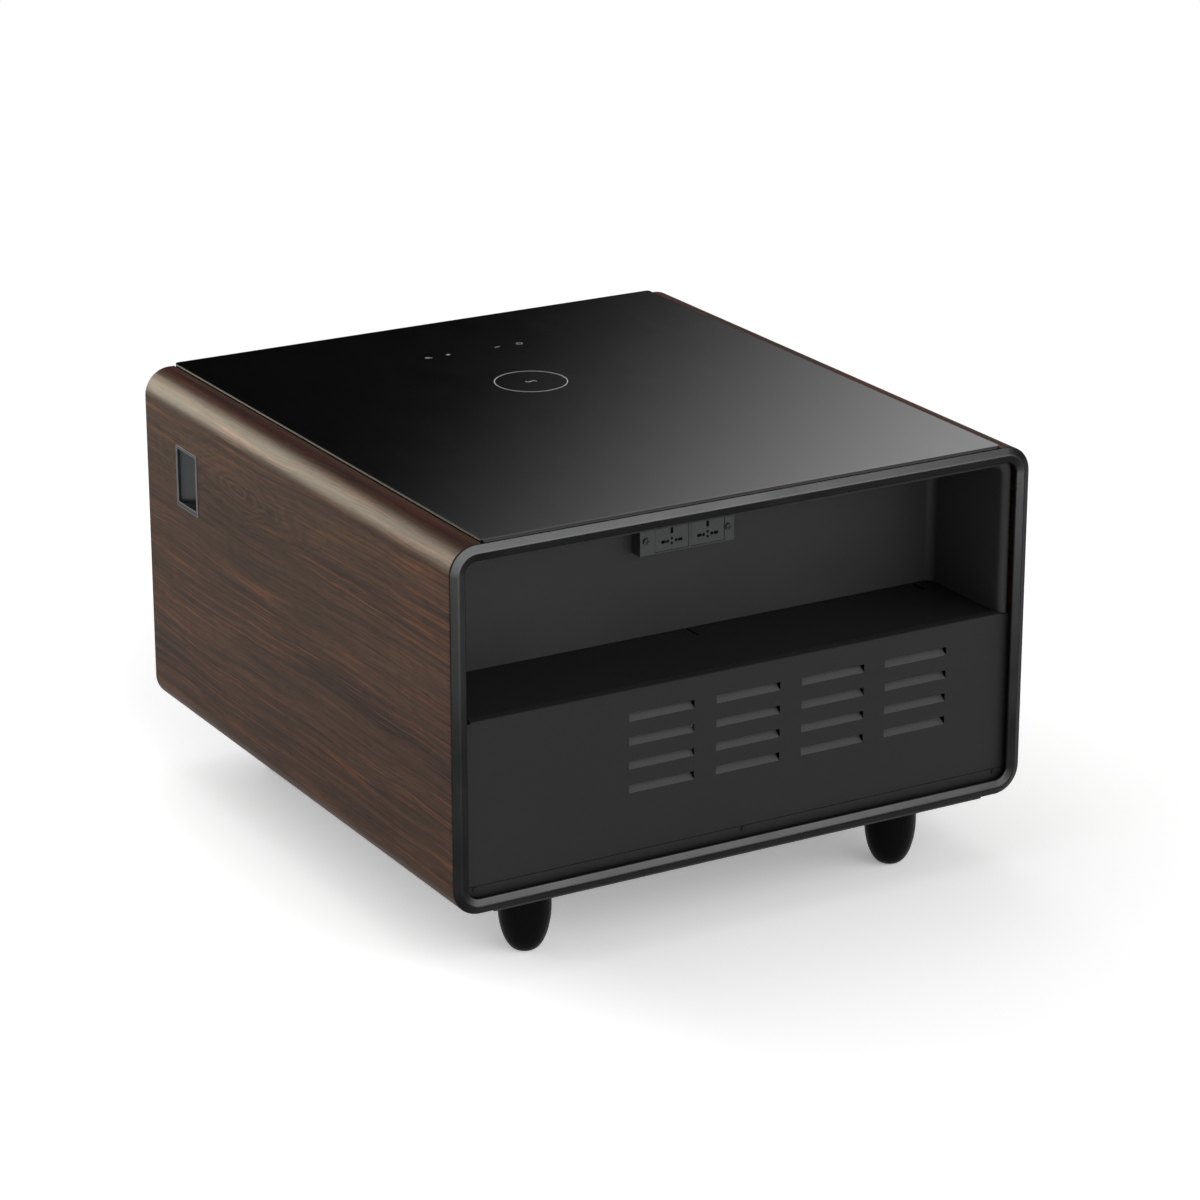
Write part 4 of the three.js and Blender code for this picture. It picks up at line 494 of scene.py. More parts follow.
def moulded(name, colour, roughness=0.42, grain=0.00004, scale=900, stray=0.06, inner=None,
            **constants):
    """Moulded plastic: a fine spark-eroded grain with slightly smoother patches.

    With an inner colour, a piece whose own u is a distance turns to that colour past 8.5 mm, and to
    black past 15.4 mm: painted shade on the inner bevel, and a painted shadow along the gap at its
    inner edge.
    """
    f = Finish(name, roughness, **constants)
    patch = f.noise(f.place(), 14, 3, 0.6)
    tone = f.shades(patch, colour, (0.3, 1 - stray), (0.7, 1 + stray))
    if inner is not None:
        inset = f.axes(f.coordinates.out("UV"))[0]
        # Painted shade on the inner bevel, then a painted shadow along the gap at the inner edge
        tone = f.mix(f.curve(inset, 8.2 * MM, 8.8 * MM), tone, inner)
        tone = f.mix(f.curve(inset, 15.2 * MM, 15.6 * MM), tone, (1, 1, 1))
    f.colour(tone)
    f.gloss(patch, roughness - 0.8 * stray, roughness + stray)
    f.bump(f.cells(f.place(), scale), grain, 0.4)
    return f.material


def plated(name, colour, roughness=0.36, spangle=420):
    """Zinc plate: small flat crystals, each with its own shade and polish."""
    f = Finish(name, roughness, 1.0)
    crystal = f.add("SeparateColor", {0: f.cells(f.place(), spangle).out("Color")})
    worn = f.noise(f.place(), 30, 4, 0.6)
    f.colour(f.shades(crystal * 0.6 + worn * 0.4, colour, (0.2, 0.92), (0.8, 1.05)))
    f.gloss(crystal.out(1), roughness - 0.03, roughness + 0.05, 0, 1)
    f.bump(worn, 0.04 * MM, 0.3)
    return f.material


def brushed(name, colour, roughness, along, groove_shade=None):
    """Brushed alloy: fine lines along the axis of the small share change shade and polish.

    With a groove colour, the parts of a piece whose own u is 1 take that colour: painted shade in
    the groove.
    """
    f = Finish(name, roughness, 1.0)
    line = f.noise(f.place(tuple(a * 1400 for a in along)), 1.0, 3, 0.6)
    haze = f.noise(f.place(), 18)
    tone = f.shades(line, colour, (0.3, 0.86), (0.7, 1.1))
    if groove_shade is not None:
        shaded_groove = f.axes(f.coordinates.out("UV"))[0]
        # Painted shade: the groove is coloured dark
        tone = f.mix(f.curve(shaded_groove, 0.6, 0.9), tone, groove_shade)
    f.colour(tone)
    f.rough(f.curve(line, 0.3, 0.7, roughness - 0.07, roughness + 0.06)
            + f.curve(haze, 0.3, 0.7, -0.02, 0.04))
    f.bump(line, 0.02 * MM, 0.35)
    return f.material


def glass_black(name, colour=(4, 4, 4), roughness=0.075):
    """Back-painted glass: a clear hard surface with faint wiping marks in its polish."""
    f = Finish(name, roughness, IOR=1.5)
    wipe = f.noise(f.place((1.0, 0.35, 1.0), turn=(0, 0, 0.6)), 22, 5, 0.62, 1.2)
    dusty = [c + 5 for c in colour]
    f.colour(f.ramp(f.noise(f.place(), 700, 2), (0.45, colour), (0.8, dusty)))
    f.gloss(wipe, roughness, roughness + 0.02, 0.35, 0.75)
    return f.material


def enamel(name, colour, roughness=0.16, coat=0.5, specular=0.5):
    """Thick glossy stove enamel with a slight wave."""
    f = Finish(name, roughness, Coat_Weight=coat, Coat_Roughness=0.06,
               Specular_IOR_Level=specular)
    wave, speck = f.noise(f.place(), 60, 2), f.noise(f.place(), 420, 2)
    pale = [c * 1.12 + 1 for c in colour]
    f.colour(f.ramp(speck, (0.3, [c * 0.9 for c in colour]), (0.75, pale)))
    f.gloss(wave, roughness - 0.03, roughness + 0.06)
    f.bump(wave, 0.2 * MM, 0.12)
    return f.material


def rubber(name):
    """Soft black rubber with bloom in its hollows."""
    f = Finish(name, 0.8)
    bloom = f.noise(f.place(), 45, 4, 0.6)
    f.colour(f.ramp(bloom, (0.3, (17, 17, 18)), (0.75, (34, 34, 34))))
    f.gloss(bloom, 0.7, 0.88)
    f.bump(f.noise(f.place(), 800, 2), 0.05 * MM, 0.3)
    return f.material


def foamed(name):
    """Poured insulation foam: yellowed skin with open cells."""
    f = Finish(name, 0.9)
    cell = f.cells(f.place(), 420)
    tone = f.ramp(f.noise(f.place(), 25, 4, 0.6), (0.3, (196, 172, 112)), (0.7, (226, 206, 152)))
    f.colour(f.mix(f.curve(cell, 0.0, 0.4, 0.35, 0), tone, (140, 116, 70)))
    f.bump(cell, 0.4 * MM)
    return f.material


def circuit(name):
    """Green lacquered board with copper tracks under the lacquer."""
    f = Finish(name, 0.4)
    bricks = f.add("TexBrick", {
        "Vector": f.place(), "Scale": 160, "Mortar Size": 0.05, "Color1": linear((22, 66, 44)),
        "Color2": linear((28, 78, 50)), "Mortar": linear((60, 116, 74))})
    f.colour(bricks)
    f.gloss(f.noise(f.place(), 80), 0.3, 0.5)
    f.bump(bricks.out("Fac"), 0.04 * MM)
    return f.material


def pressed_board(name):
    """Dark fibre board: matted fibres and flecks."""
    f = Finish(name, 0.75)
    fibre = f.noise(f.place((1, 2.2, 1)), 260, 5, 0.7, 1.5)
    fleck = f.cells(f.place(), 210)
    tone = f.ramp(fibre, (0.3, (44, 37, 31)), (0.7, (74, 62, 52)))
    f.colour(f.mix(f.curve(fleck, 0.0, 0.3, 0.4, 0), tone, (96, 82, 68)))
    f.bump(fibre, 0.2 * MM)
    return f.material


def copper_tube(name):
    """Drawn copper: fine draw lines with brown tarnish."""
    f = Finish(name, 0.32, 1.0)
    line = f.noise(f.place((1, 1, 0.05)), 900, 3, 0.6)
    tarnish = f.noise(f.place(), 40, 4, 0.62)
    f.colour(f.ramp(tarnish, (0.3, (150, 84, 52)), (0.7, (206, 128, 88))))
    f.rough(f.curve(tarnish, 0.3, 0.7, 0.42, 0.26) + f.curve(line, 0.3, 0.7, 0, 0.06))
    f.bump(line, 0.03 * MM, 0.3)
    return f.material


def printed_ink(name):
    """Silk-screened pale ink, slightly broken at its grain."""
    f = Finish(name)
    grain = f.noise(f.place(), 2400, 2)
    f.colour(f.ramp(grain, (0.25, (196, 198, 200)), (0.7, (226, 227, 228))))
    f.gloss(grain, 0.42, 0.56)
    return f.material


def wound_core(name):
    """Stacked lamination steel, one fine line a sheet."""
    f = Finish(name, 0.45, 0.9)
    wave = f.add("TexWave", {"Vector": f.place(), "Scale": 320, "Distortion": 0.6},
                 wave_type="BANDS", bands_direction="Z").out("Fac")
    f.colour(f.ramp(wave, (0.2, (70, 68, 66)), (0.8, (126, 122, 118))))
    f.bump(wave, 0.1 * MM)
    return f.material


def stock(name, make, *values, **named):
    """The finish of that name, made once."""
    return bpy.data.materials.get(name) or make(name, *values, **named)


# Shared finishes, each with its slot


def paint_dark():
    return stock("Panel paint", powder_coat, (37, 37, 37), Specular_IOR_Level=0.15), "panel_paint"


def black_plastic():
    return stock("Black plastic", moulded, (30, 31, 32)), "black_plastic"


def white_plastic():
    return stock("White liner plastic", moulded, (222, 224, 224), 0.34, 0.00003, 700,
                 0.012), "white_plastic"


def zinc():
    return stock("Zinc plate", plated, (176, 180, 184)), "zinc"


# Sizes and finishes that a user would change


class FridgeTableFinishes(bpy.types.PropertyGroup):
    """Colours of the table's finishes."""

    wood_light: bpy.props.FloatVectorProperty(
        name="Wood light", description="Pale grain of the walnut", subtype="COLOR",
        default=linear((94, 68, 50))[:3], min=0, max=1)
    wood_middle: bpy.props.FloatVectorProperty(
        name="Wood middle", description="Middle tone of the walnut", subtype="COLOR",
        default=linear((74, 52, 38))[:3], min=0, max=1)
    wood_dark: bpy.props.FloatVectorProperty(
        name="Wood dark", description="Dark grain of the walnut", subtype="COLOR",
        default=linear((44, 29, 22))[:3], min=0, max=1)
    wood_rust: bpy.props.FloatVectorProperty(
        name="Wood rust", description="Rust-coloured hairs of the walnut", subtype="COLOR",
        default=linear((118, 74, 50))[:3], min=0, max=1)
    figure_across: bpy.props.FloatProperty(
        name="Figure across", description="Place of the arched figure across the grain",
        default=0.088, unit="LENGTH")
    figure_along: bpy.props.FloatProperty(
        name="Figure along", description="Place of the arched figure along the grain",
        default=0.12, unit="LENGTH")


class FridgeTableShapes(bpy.types.PropertyGroup):
    """Small sizes of the visible edges."""

    crest_fillet: bpy.props.FloatProperty(
        name="Crest fillet", description="Rounding along the crest of the rear frame",
        default=0.9 * MM, min=0.1 * MM, max=1.3 * MM, unit="LENGTH")
    edge_fillet: bpy.props.FloatProperty(
        name="Edge fillet", description="Rounding of the frame's outer edge",
        default=0.6 * MM, min=0.1 * MM, max=1 * MM, unit="LENGTH")
    wood_edge: bpy.props.FloatProperty(
        name="Wood edge", description="Rounding at the ends of the wood sides",
        default=0.9 * MM, min=0.1 * MM, max=2 * MM, unit="LENGTH")
    glass_arris: bpy.props.FloatProperty(
        name="Glass arris", description="Ground edge of the glass",
        default=0.5 * MM, min=0.1 * MM, max=1.5 * MM, unit="LENGTH")
    panel_fold: bpy.props.FloatProperty(
        name="Panel fold", description="Outer radius of the fold along the top of the panel",
        default=1.3 * MM, min=1.3 * MM, max=4 * MM, unit="LENGTH")
    ring_radius: bpy.props.FloatProperty(
        name="Charging ring radius", description="Middle radius of the printed ring",
        default=37.9 * MM, min=20 * MM, max=60 * MM, unit="LENGTH")
    ring_line: bpy.props.FloatProperty(
        name="Charging ring line", description="Width of the printed line",
        default=0.7 * MM, min=0.3 * MM, max=4 * MM, unit="LENGTH")


class FridgeTableStage(bpy.types.PropertyGroup):
    """Floor, light and camera."""

    lens: bpy.props.FloatProperty(
        name="Focal length", description="Focal length of the camera in millimetres",
        default=122.131, min=20, max=400)
    camera_place: bpy.props.FloatVectorProperty(
        name="Camera place", description="Where the camera stands", subtype="TRANSLATION",
        unit="LENGTH", default=(-1.97258, -3.44442, 1.64163))
    yaw: bpy.props.FloatProperty(
        name="Camera yaw", description="Turn of the camera to the right of +Y",
        default=math.radians(30.17), subtype="ANGLE")
    pitch: bpy.props.FloatProperty(
        name="Camera pitch", description="Tilt of the camera below the horizon",
        default=math.radians(19.4797), subtype="ANGLE")
    lamp_power: bpy.props.FloatProperty(
        name="Lamp power", description="Watts that the two soft lamps take their shares of",
        default=26, min=0, max=500)
    floor_shade: bpy.props.FloatVectorProperty(
        name="Floor colour", description="Colour of the floor under the table", subtype="COLOR",
        default=(0.80, 0.80, 0.80), min=0, max=1)


# Outer body


class TABLE_OT_rear_frame(bpy.types.Operator):
    """Ridge-shaped frame round the service side"""

    bl_idname = "fridge_table.rear_frame"
    bl_label = "Rear frame"

    def execute(self, context):
        sizes = context.scene.fridge_table_shapes
        lo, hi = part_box("rear_frame")
        # (inset from the outline, depth behind the crest, cut at the corner)
        line = np.array([(0, 3.5, 0), (6.9, 0.12, 0), (7.8, 0, 0), (8.7, 0.1, 0), (15.2, 1.75, 0),
                         (16.2, 3.3, 0.3), (16.2, 5, 0.3), (12.5, 5, 0), (12.5, 9, 0.4),
                         (10.3, 9, 0.4), (10.3, 4.5, 0), (0, 4.5, 0.3)]) * MM
        cut = line[:, 2]
        cut[[0, 4]] = sizes.edge_fillet
        cut[[1, 3]] = sizes.crest_fillet * 0.8
        inset, depth = filleted(line[:, :2], cut, steps=5).T
        loops = rounded_loops(lo.x + inset, hi.x - inset, lo.z + inset, hi.z - inset,
                              BODY_CORNER - inset, steps=22)
        grid = ring(loops, 1, lo.y + depth)
        # Its own u is the inset, and v counts the points round it
        uv = np.stack(np.broadcast_arrays(inset[:, None], np.arange(grid.shape[1]) * MM), -1)
        # Its inner colour is painted shade on the inner bevel, and the black past it a painted
        # shadow along the gap
        plastic = stock("Frame plastic", moulded, (11, 12, 12), 0.3, 0.00001, inner=(5, 5, 6),
                        Specular_IOR_Level=0.07)
        new_piece("service_frame", hoop(grid, uv), plastic, "frame_plastic", "table",
                  ["rear_frame"], sharp=40)
        return {"FINISHED"}


def wood_section(side, inset):
    """Outer and inner line of the C section, with points at the height of the grip opening.

    Both lines run from the top edge round to the bottom edge as straight lines and quarter
    circles about the same centres, so that point i of one faces point i of the other.
    """
    centre, high, low = -297 * MM, 419 * MM, 107 * MM
    top_end, low_end = -291 * MM - inset, -265 * MM - inset
    turn = np.linspace(QUARTER, math.pi, 17)

    def line(radius):
        upper, lower = (np.stack([centre + radius * np.cos(a), z + radius * np.sin(a)], 1)
                        for z, a in ((high, turn), (low, turn + QUARTER)))
        grip = [(centre - radius, z * MM) for z in (384.3, 352.6, 320.9)]
        return np.concatenate([[(top_end, high + radius)], upper, grip, lower,
                               [(low_end, low - radius)]]) * (-side, 1)

    return line(BODY_CORNER - inset), line(WOOD_CORNER + inset)


class TABLE_OT_wood_sides(bpy.types.Operator):
    """Wood sides with rounded corners and an opening for the hand grip"""

    bl_idname = "fridge_table.wood_sides"
    bl_label = "Wood sides"

    def execute(self, context):
        edge = context.scene.fridge_table_shapes.wood_edge
        for side, name in ((-1, "left"), (1, "right")):
            node = f"side_panel_{name}"
            lo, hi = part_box(node)
            # Each end is drawn in along a quarter circle of the edge radius
            turn = np.linspace(0, QUARTER, 5)
            ends, run = edge * (1 - np.sin(turn)), edge * (1 - np.cos(turn))
            y = np.concatenate([lo.y + run, [216.5 * MM, 263.5 * MM], hi.y - run[::-1]])
            inset = np.concatenate([ends, [0, 0], ends[::-1]])
            outer, inner = np.array([wood_section(side, v) for v in inset]).swapaxes(0, 1)
            rows, count = outer.shape[:2]
            last = 2 * count - 1
            # The grip opening lies between these rows and points
            (row, below), (first, spot, final) = (5, 6), (18, 19, 20)
            grid = ring(np.concatenate([outer, inner[:, ::-1]], axis=1), 1, y)
            # Its own u is the way round the outer line, and further on for the inner line
            further = 0.9
            way = np.diff(outer[6], axis=0, prepend=outer[6][:1])
            length = np.cumsum(np.linalg.norm(way, axis=1))
            across = np.concatenate([length, length[::-1] + further])
            uv = -side * np.stack(np.broadcast_arrays(across, y[:, None]), axis=-1)
            keep = np.ones((rows - 1, 2 * count), bool)
            keep[row, [first, spot, last - spot, last - final]] = False
            parts = [sheet(grid, wrap_columns=True, keep=keep, uv=uv)]

            def wall(r, c, closed=False):
                """Quads between points of the outer line and those that face them."""
                parts.append(sheet(np.stack([grid[r, c], grid[r, last - c]]), wrap_columns=closed,
                                   uv=np.stack([uv[r, c], uv[r, c] + (0.01, 0)])))

            wall([row] * 3 + [below] * 3, np.array([first, spot, final, final, spot, first]),
                 closed=True)
            for end in (0, rows - 1):
                wall(end, np.arange(count))
            new_piece(f"wood_side_{name}", parts, stock("Walnut", walnut), "side_wood", "table",
                      [node], sharp=50)
        return {"FINISHED"}


class TABLE_OT_glass_top(bpy.types.Operator):
    """Black glass with a ground arris, and the deck board under it"""

    bl_idname = "fridge_table.glass_top"
    bl_label = "Glass top"

    def execute(self, context):
        arris = context.scene.fridge_table_shapes.glass_arris
        lo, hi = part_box("glass_top")
        # Each row is the outline drawn in by an inset at its height; the printed marks stand
        # on top, inside the solid's height
        corner, top = 4 * MM, hi.z - 0.06 * MM
        inset, height = filleted([(corner, lo.z), (0, lo.z), (0, top), (corner, top)],
                                 [0, 0.5 * MM, arris, 0], closed=False).T
        loops = rounded_loops(lo.x + inset, hi.x - inset, lo.y + inset, hi.y - inset,
                              np.maximum(corner - inset, 0.4 * MM), 8)
        new_piece("glass_plate", tube(ring(loops, 2, height)), stock("Top glass", glass_black),
                  "top_glass", "table", ["glass_top"], sharp=50)
        softened("top_deck", 0.6, stock("Deck board", pressed_board), "deck_board")
        finish_solid("charging_coil", stock("Copper", copper_tube))
        finish_solid("touch_board", stock("Circuit board", circuit))
        return {"FINISHED"}


class TABLE_OT_top_marks(bpy.types.Operator):
    """Printed charging ring and four small touch marks on the glass"""

    bl_idname = "fridge_table.top_marks"
    bl_label = "Printed marks"

    def execute(self, context):
        sizes = context.scene.fridge_table_shapes
        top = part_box("glass_top")[1].z
        high, low = top - 0.01 * MM, top - 0.06 * MM
        cx, cy, _ = centre_of("charging_coil")
        row = centre_of("touch_board").y
        parts = []

        def ink(points, width, closed=False):
            """A thin box along a line: its edges lie half the width away, along the normal."""
            p = np.asarray(points, float)
            step = np.roll(p, -1, 0) - np.roll(p, 1, 0) if closed else np.gradient(p, axis=0)
            step /= np.linalg.norm(step, axis=1, keepdims=True)
            normal = np.stack([-step[:, 1], step[:, 0]], 1) * width / 2
            left, right = p - normal, p + normal
            grid = ring(np.stack([left, right, right, left]), 2, (high, high, low, low))
            parts.append(sheet(grid, wrap_rows=True, wrap_columns=closed))
            if not closed:
                parts.extend([cap(grid[:, 0]), cap(grid[:, -1])])

        def circle(x, y, radius, count=24, start=0.0, sweep=2 * math.pi, ends=False):
            turn = start + sweep * np.linspace(0, 1, count, endpoint=ends)
            return np.stack([x + radius * np.cos(turn), y + radius * np.sin(turn)], 1)

        ink(circle(cx, cy, sizes.ring_radius, 120), sizes.ring_line, closed=True)
        # A small flash in the middle of the ring
        flash = np.array([(-5, 2.9), (-4.3, -1.6), (4.3, 1.6), (5, -2.9)]) * MM
        ink(flash + (cx, cy), 0.9 * MM)
        # Touch marks: a lamp, a snowflake, a minus and a power ring
        thin = 0.6 * MM
        ink(circle(-52 * MM, row, 1.9 * MM), thin, closed=True)
        ink([(-49.4 * MM, row - 1.4 * MM), (-47.2 * MM, row - 2.5 * MM)], thin * 1.4)
        for angle in np.radians([0, 60, 120]):
            arm = np.array([math.cos(angle), math.sin(angle)]) * 2.5 * MM
            ink((-27 * MM, row) + arm * [[-1], [1]], thin)
        ink([(29 * MM, row), (35 * MM, row)], thin * 1.2)
        ink(circle(59 * MM, row, 3.2 * MM, 20, math.radians(125), math.radians(290), True), thin)
        ink([(59 * MM, row + 0.6 * MM), (59 * MM, row + 4.2 * MM)], thin)
        new_piece("printed_marks", parts, stock("Printed marks", printed_ink), "top_glass",
                  "table")
        return {"FINISHED"}


class TABLE_OT_underside(bpy.types.Operator):
    """Base pan, cord gland and the four turned legs"""

    bl_idname = "fridge_table.underside"
    bl_label = "Underside and legs"

    def execute(self, context):
        paint = stock("Pan paint", powder_coat, (28, 29, 30), 0.55, 0.00004)
        softened("base_pan", 0.7, paint, "pan_steel")
        softened("cord_gland", 0.4, *black_plastic(), angle=40)
        gloss = stock("Leg gloss", enamel, (12, 12, 13), 0.3, 0.0, 0.03)
        tip, dome, wall = 7 * MM, 48 * MM, 76.4 * MM
        angle = np.linspace(0, QUARTER, 30)
        turn = np.linspace(0, 2 * math.pi, 56, endpoint=False)
        for place in ("rear_left", "rear_right", "front_left", "front_right"):
            node = f"leg_{place}"
            (lo, hi), (cx, cy, _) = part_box(node), centre_of(node)
            radius = (hi.x - lo.x) / 2
            # Radius: tip plus a sine; height: the dome times one minus the cosine of the angle
            foot = np.stack([tip + (radius - tip) * np.sin(angle), dome * (1 - np.cos(angle))], 1)
            rim = filleted([(radius, dome + 8 * MM), (radius, wall), (radius - 6 * MM, wall)],
                           [0, 1.2 * MM, 0], steps=5, closed=False)
            r, height = np.concatenate([foot, rim, [(5 * MM, wall)]]).T[..., None]
            loops = np.stack([cx + r * np.cos(turn), cy + r * np.sin(turn)], axis=-1)
            new_piece(f"turned_leg_{place}", tube(ring(loops, 2, height)), gloss, "leg_gloss",
                      "table", [node], sharp=50)
        return {"FINISHED"}


# Service side


class TABLE_OT_louvre_panel(bpy.types.Operator):
    """Folded sheet panel with sixteen lanced louvres"""

    bl_idname = "fridge_table.louvre_panel"
    bl_label = "Louvre panel"

    def execute(self, context):
        fold = context.scene.fridge_table_shapes.panel_fold
        lo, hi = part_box("louvre_panel")
        foot, flange_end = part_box("rear_sill")[1].z + 0.7 * MM, -318 * MM
        side_fold = 301.2 * MM
        slot_x = (53.3 + np.array([-1.5, -0.5, 0.5, 1.5]) * 97.8) * MM
        slot_z = (164.8 + np.arange(4) * 24.5) * MM
        half, high = 36.5 * MM, 8.6 * MM
        # A flat grid without the slots' cells, folded back along its top by a quarter circle
        edges = np.sort(np.concatenate([slot_x - half, slot_x + half]))
        heights = np.sort(np.concatenate([slot_z, slot_z + high]))
        x = np.concatenate([[lo.x, -side_fold], edges, [side_fold, hi.x]])
        turn = np.linspace(0, QUARTER, 7)
        z = np.concatenate([[foot], heights, hi.z - fold + fold * np.sin(turn), [hi.z]])
        face = 1 + len(heights)
        back = np.concatenate([np.zeros(face), fold * (1 - np.cos(turn)), [flange_end - lo.y]])
        grid = np.stack(np.broadcast_arrays(x, lo.y + back[:, None], z[:, None]), axis=-1)
        keep = np.ones((len(z) - 1, len(x) - 1), bool)
        keep[np.ix_(1 + 2 * np.arange(4), 2 + 2 * np.arange(4))] = False
        keep[face:, [0, -1]] = False
        panel = new_piece("vent_panel", [sheet(grid, keep=keep)], *paint_dark(), "table",
                          ["louvre_panel"], sharp=35, facing=(0, -1, 0))
        walled(panel, 1.2 * MM, even=True)

        # One blade's section in (y, z): it leaves the sheet at its low edge and leans back
        blade = filleted([(0, -0.9), (0, 0.1), (9.7, 8.45), (10.5, 7.5), (1.2, -0.5), (1.2, -0.9)],
                         [0, 0.3, 0.25, 0.25, 0.6, 0]) * MM
        # Its ends clear the slot and draw in evenly towards the back edge
        clear, draw = 0.15 * MM, 0.12
        ends = [[-1], [1]] * (half - clear - draw * np.maximum(blade[:, 0], 0))
        parts = []
        for cx, cz in np.stack(np.meshgrid(slot_x, slot_z), axis=-1).reshape(-1, 2):
            section = blade + (lo.y + 0.02 * MM, cz)
            parts += tube(np.stack(np.broadcast_arrays(cx + ends, *section.T), axis=-1))
        new_piece("vent_blades", parts, stock("Blade paint", blade_paint, lo.y), "panel_paint",
                  "table", sharp=35)
        self.sill()
        screw = stock("Dark screw", plated, (44, 45, 47), 0.4, 400)
        for place in ("left", "middle", "right"):
            softened(f"panel_screw_{place}", 0.2, screw, "zinc", angle=40)
        return {"FINISHED"}

    def sill(self):
        """Strip under the panel: its outline's lower corners are quarter circles about one centre.

        Each row of the edge is the outline drawn in by an inset, at a depth behind the face.
        """
        lo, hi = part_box("rear_sill")
        corner = 17 * MM
        soft = np.linspace(0, QUARTER, 4)
        inset = np.append(0.3 * (1 - np.sin(soft)), 0.0)[:, None] * MM
        depth = np.append(0.3 * (1 - np.cos(soft)), 1.2) * MM
        centre_x, centre_z, radius = hi.x - corner, lo.z + corner, corner - inset
        start = np.arcsin((hi.z - inset - centre_z) / radius)
        angle = start + (-QUARTER - start) * np.linspace(0, 1, 15)
        side = np.stack([centre_x + radius * np.cos(angle), centre_z + radius * np.sin(angle)], -1)
        loops = np.concatenate([side, side[:, ::-1] * (-1, 1)], axis=1)
        foot = np.array([(0.6, 0), (12, 0), (12, 1.2), (0.6, 1.2)]) * MM + (lo.y, lo.z)
        new_piece("sill_strip", tube(ring(loops, 1, lo.y + depth)) + bar(foot, -centre_x, centre_x),
                  *paint_dark(), "table", ["rear_sill"], sharp=40)


class TABLE_OT_niche(bpy.types.Operator):
    """Niche shell with rounded corners and a flared mouth, its shelf and the rail over it"""

    bl_idname = "fridge_table.niche"
    bl_label = "Niche"

    def execute(self, context):
        half, ceiling, low = 301.5 * MM, 423.5 * MM, 269.5 * MM
        back, mouth, corner, flare = -205.5 * MM, -328.5 * MM, 9 * MM, 8 * MM
        window_x, window_z = 44.3 * MM, (362.7 * MM, 385.3 * MM)
        turn = np.linspace(0, QUARTER, 9)
        # Growth past the inner face and depth: flare, straight wall, then the corner to the back
        grow = np.concatenate([flare * (1 - np.sin(turn)), -corner * (1 - np.cos(turn))])
        depth = np.concatenate([mouth + flare * (1 - np.cos(turn)),
                                back - corner * (1 - np.sin(turn))])
        radius = corner + grow * np.where(grow > 0, 0.32, 0.94)
        arc = 11
        loops = rounded_loops(-half - grow, half + grow, low - 30 * MM, ceiling + grow,
                              (radius, radius, radius * 0, radius * 0), arc - 1,
                              spots_x=(-window_x, window_x), spots_z=(low, *window_z))
        # The open U: three spots up the right side, arc, two spots, arc, and three down the left
        loops = np.roll(loops, 3, axis=1)[:, :3 + arc + 2 + arc + 3]
        edge = half - corner
        xs = np.array([-edge, -window_x, window_x, edge])
        zs = np.array([low, *window_z, ceiling - corner])
        plate = ring(np.stack(np.meshgrid(xs, zs), axis=-1), 1, back)
        hole = np.ones((3, 3), bool)
        hole[1, 1] = False
        paint = stock("Niche paint", powder_coat, (55, 55, 55), Specular_IOR_Level=0.2)
        shell = new_piece("niche_shell", [sheet(ring(loops, 1, depth)), sheet(plate, keep=hole)],
                          paint, "niche_paint", "table", ["niche_liner"], sharp=60,
                          facing=(0, -1, 0))
        walled(shell, 1.4 * MM)
        paint = stock("Shelf paint", powder_coat, (30, 30, 30), 0.42, Specular_IOR_Level=0.2)
        softened("niche_shelf", 0.5, paint, "shelf_paint")
        softened("rear_top_rail", 0.5, *zinc())
        return {"FINISHED"}


class TABLE_OT_socket_strip(bpy.types.Operator):
    """Socket strip with two universal modules and its screws"""

    bl_idname = "fridge_table.socket_strip"
    bl_label = "Socket strip"

    def execute(self, context):
        body = stock("Socket plastic", moulded, (53, 55, 55), 0.4, 0.00002)
        screw = stock("Socket screw", plated, (74, 76, 78), 0.4, 400)
        softened("socket_housing", 0.35, body, "black_plastic")
        for side in ("left", "right"):
            softened(f"socket_{side}", 0.2, body, "black_plastic")
            softened(f"socket_screw_{side}", 0.2, screw, "zinc", angle=40)
        return {"FINISHED"}


class TABLE_OT_hand_grips(bpy.types.Operator):
    """Slanted cups in the wood sides with their thin bezels"""

    bl_idname = "fridge_table.hand_grips"
    bl_label = "Hand grips"

    def execute(self, context):
        cup = stock("Grip plastic", moulded, (44, 46, 48), 0.4, 0.00003)
        alloy = stock("Grip bezel", brushed, (112, 115, 118), 0.36, (1, 0.05, 1), (34, 36, 39))
        # Rectangles from the outer edge over a groove, coloured dark as painted shade, to the inner
        # edge and back
        # (inset at the ends, inset above, inset below, distance out of the wood)
        ends, above, below, out = np.array([
            (0, 0, 0, -1.2), (0, 0, 0, 0.3), (0.2, 0.2, 0.2, 0.6), (0.8, 0.8, 0.8, 0.6),
            (1.0, 1.0, 1.0, 0.15), (2.0, 1.8, 4.4, 0.15), (2.2, 2.0, 4.6, 0.6),
            (2.8, 2.6, 5.3, 0.6), (3, 2.8, 5.5, 0.3), (3, 2.8, 5.5, -1.2)]).T * MM
        # Rows 4 and 5 lie in the groove, which gets painted shade
        shaded_groove = np.zeros((len(ends), 1))
        shaded_groove[4:6] = 1
        radius = np.linspace(1.6, 0.5, len(ends)) * MM
        wood_face = 325 * MM
        for side, name in ((-1, "left"), (1, "right")):
            softened(f"grip_cup_{name}", 0.5, cup, "black_plastic")
            lo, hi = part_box(f"grip_bezel_{name}")
            loops = rounded_loops(lo.y + ends, hi.y - ends, lo.z + below, hi.z - above, radius, 5)
            grid = ring(loops, 0, side * (wood_face + out))
            uv = np.stack(np.broadcast_arrays(shaded_groove, loops[..., 0]), axis=-1)
            new_piece(f"grip_ring_{name}", hoop(grid, uv), alloy, "satin_alloy", "table",
                      [f"grip_bezel_{name}"], sharp=35)
        return {"FINISHED"}


# Refrigerator


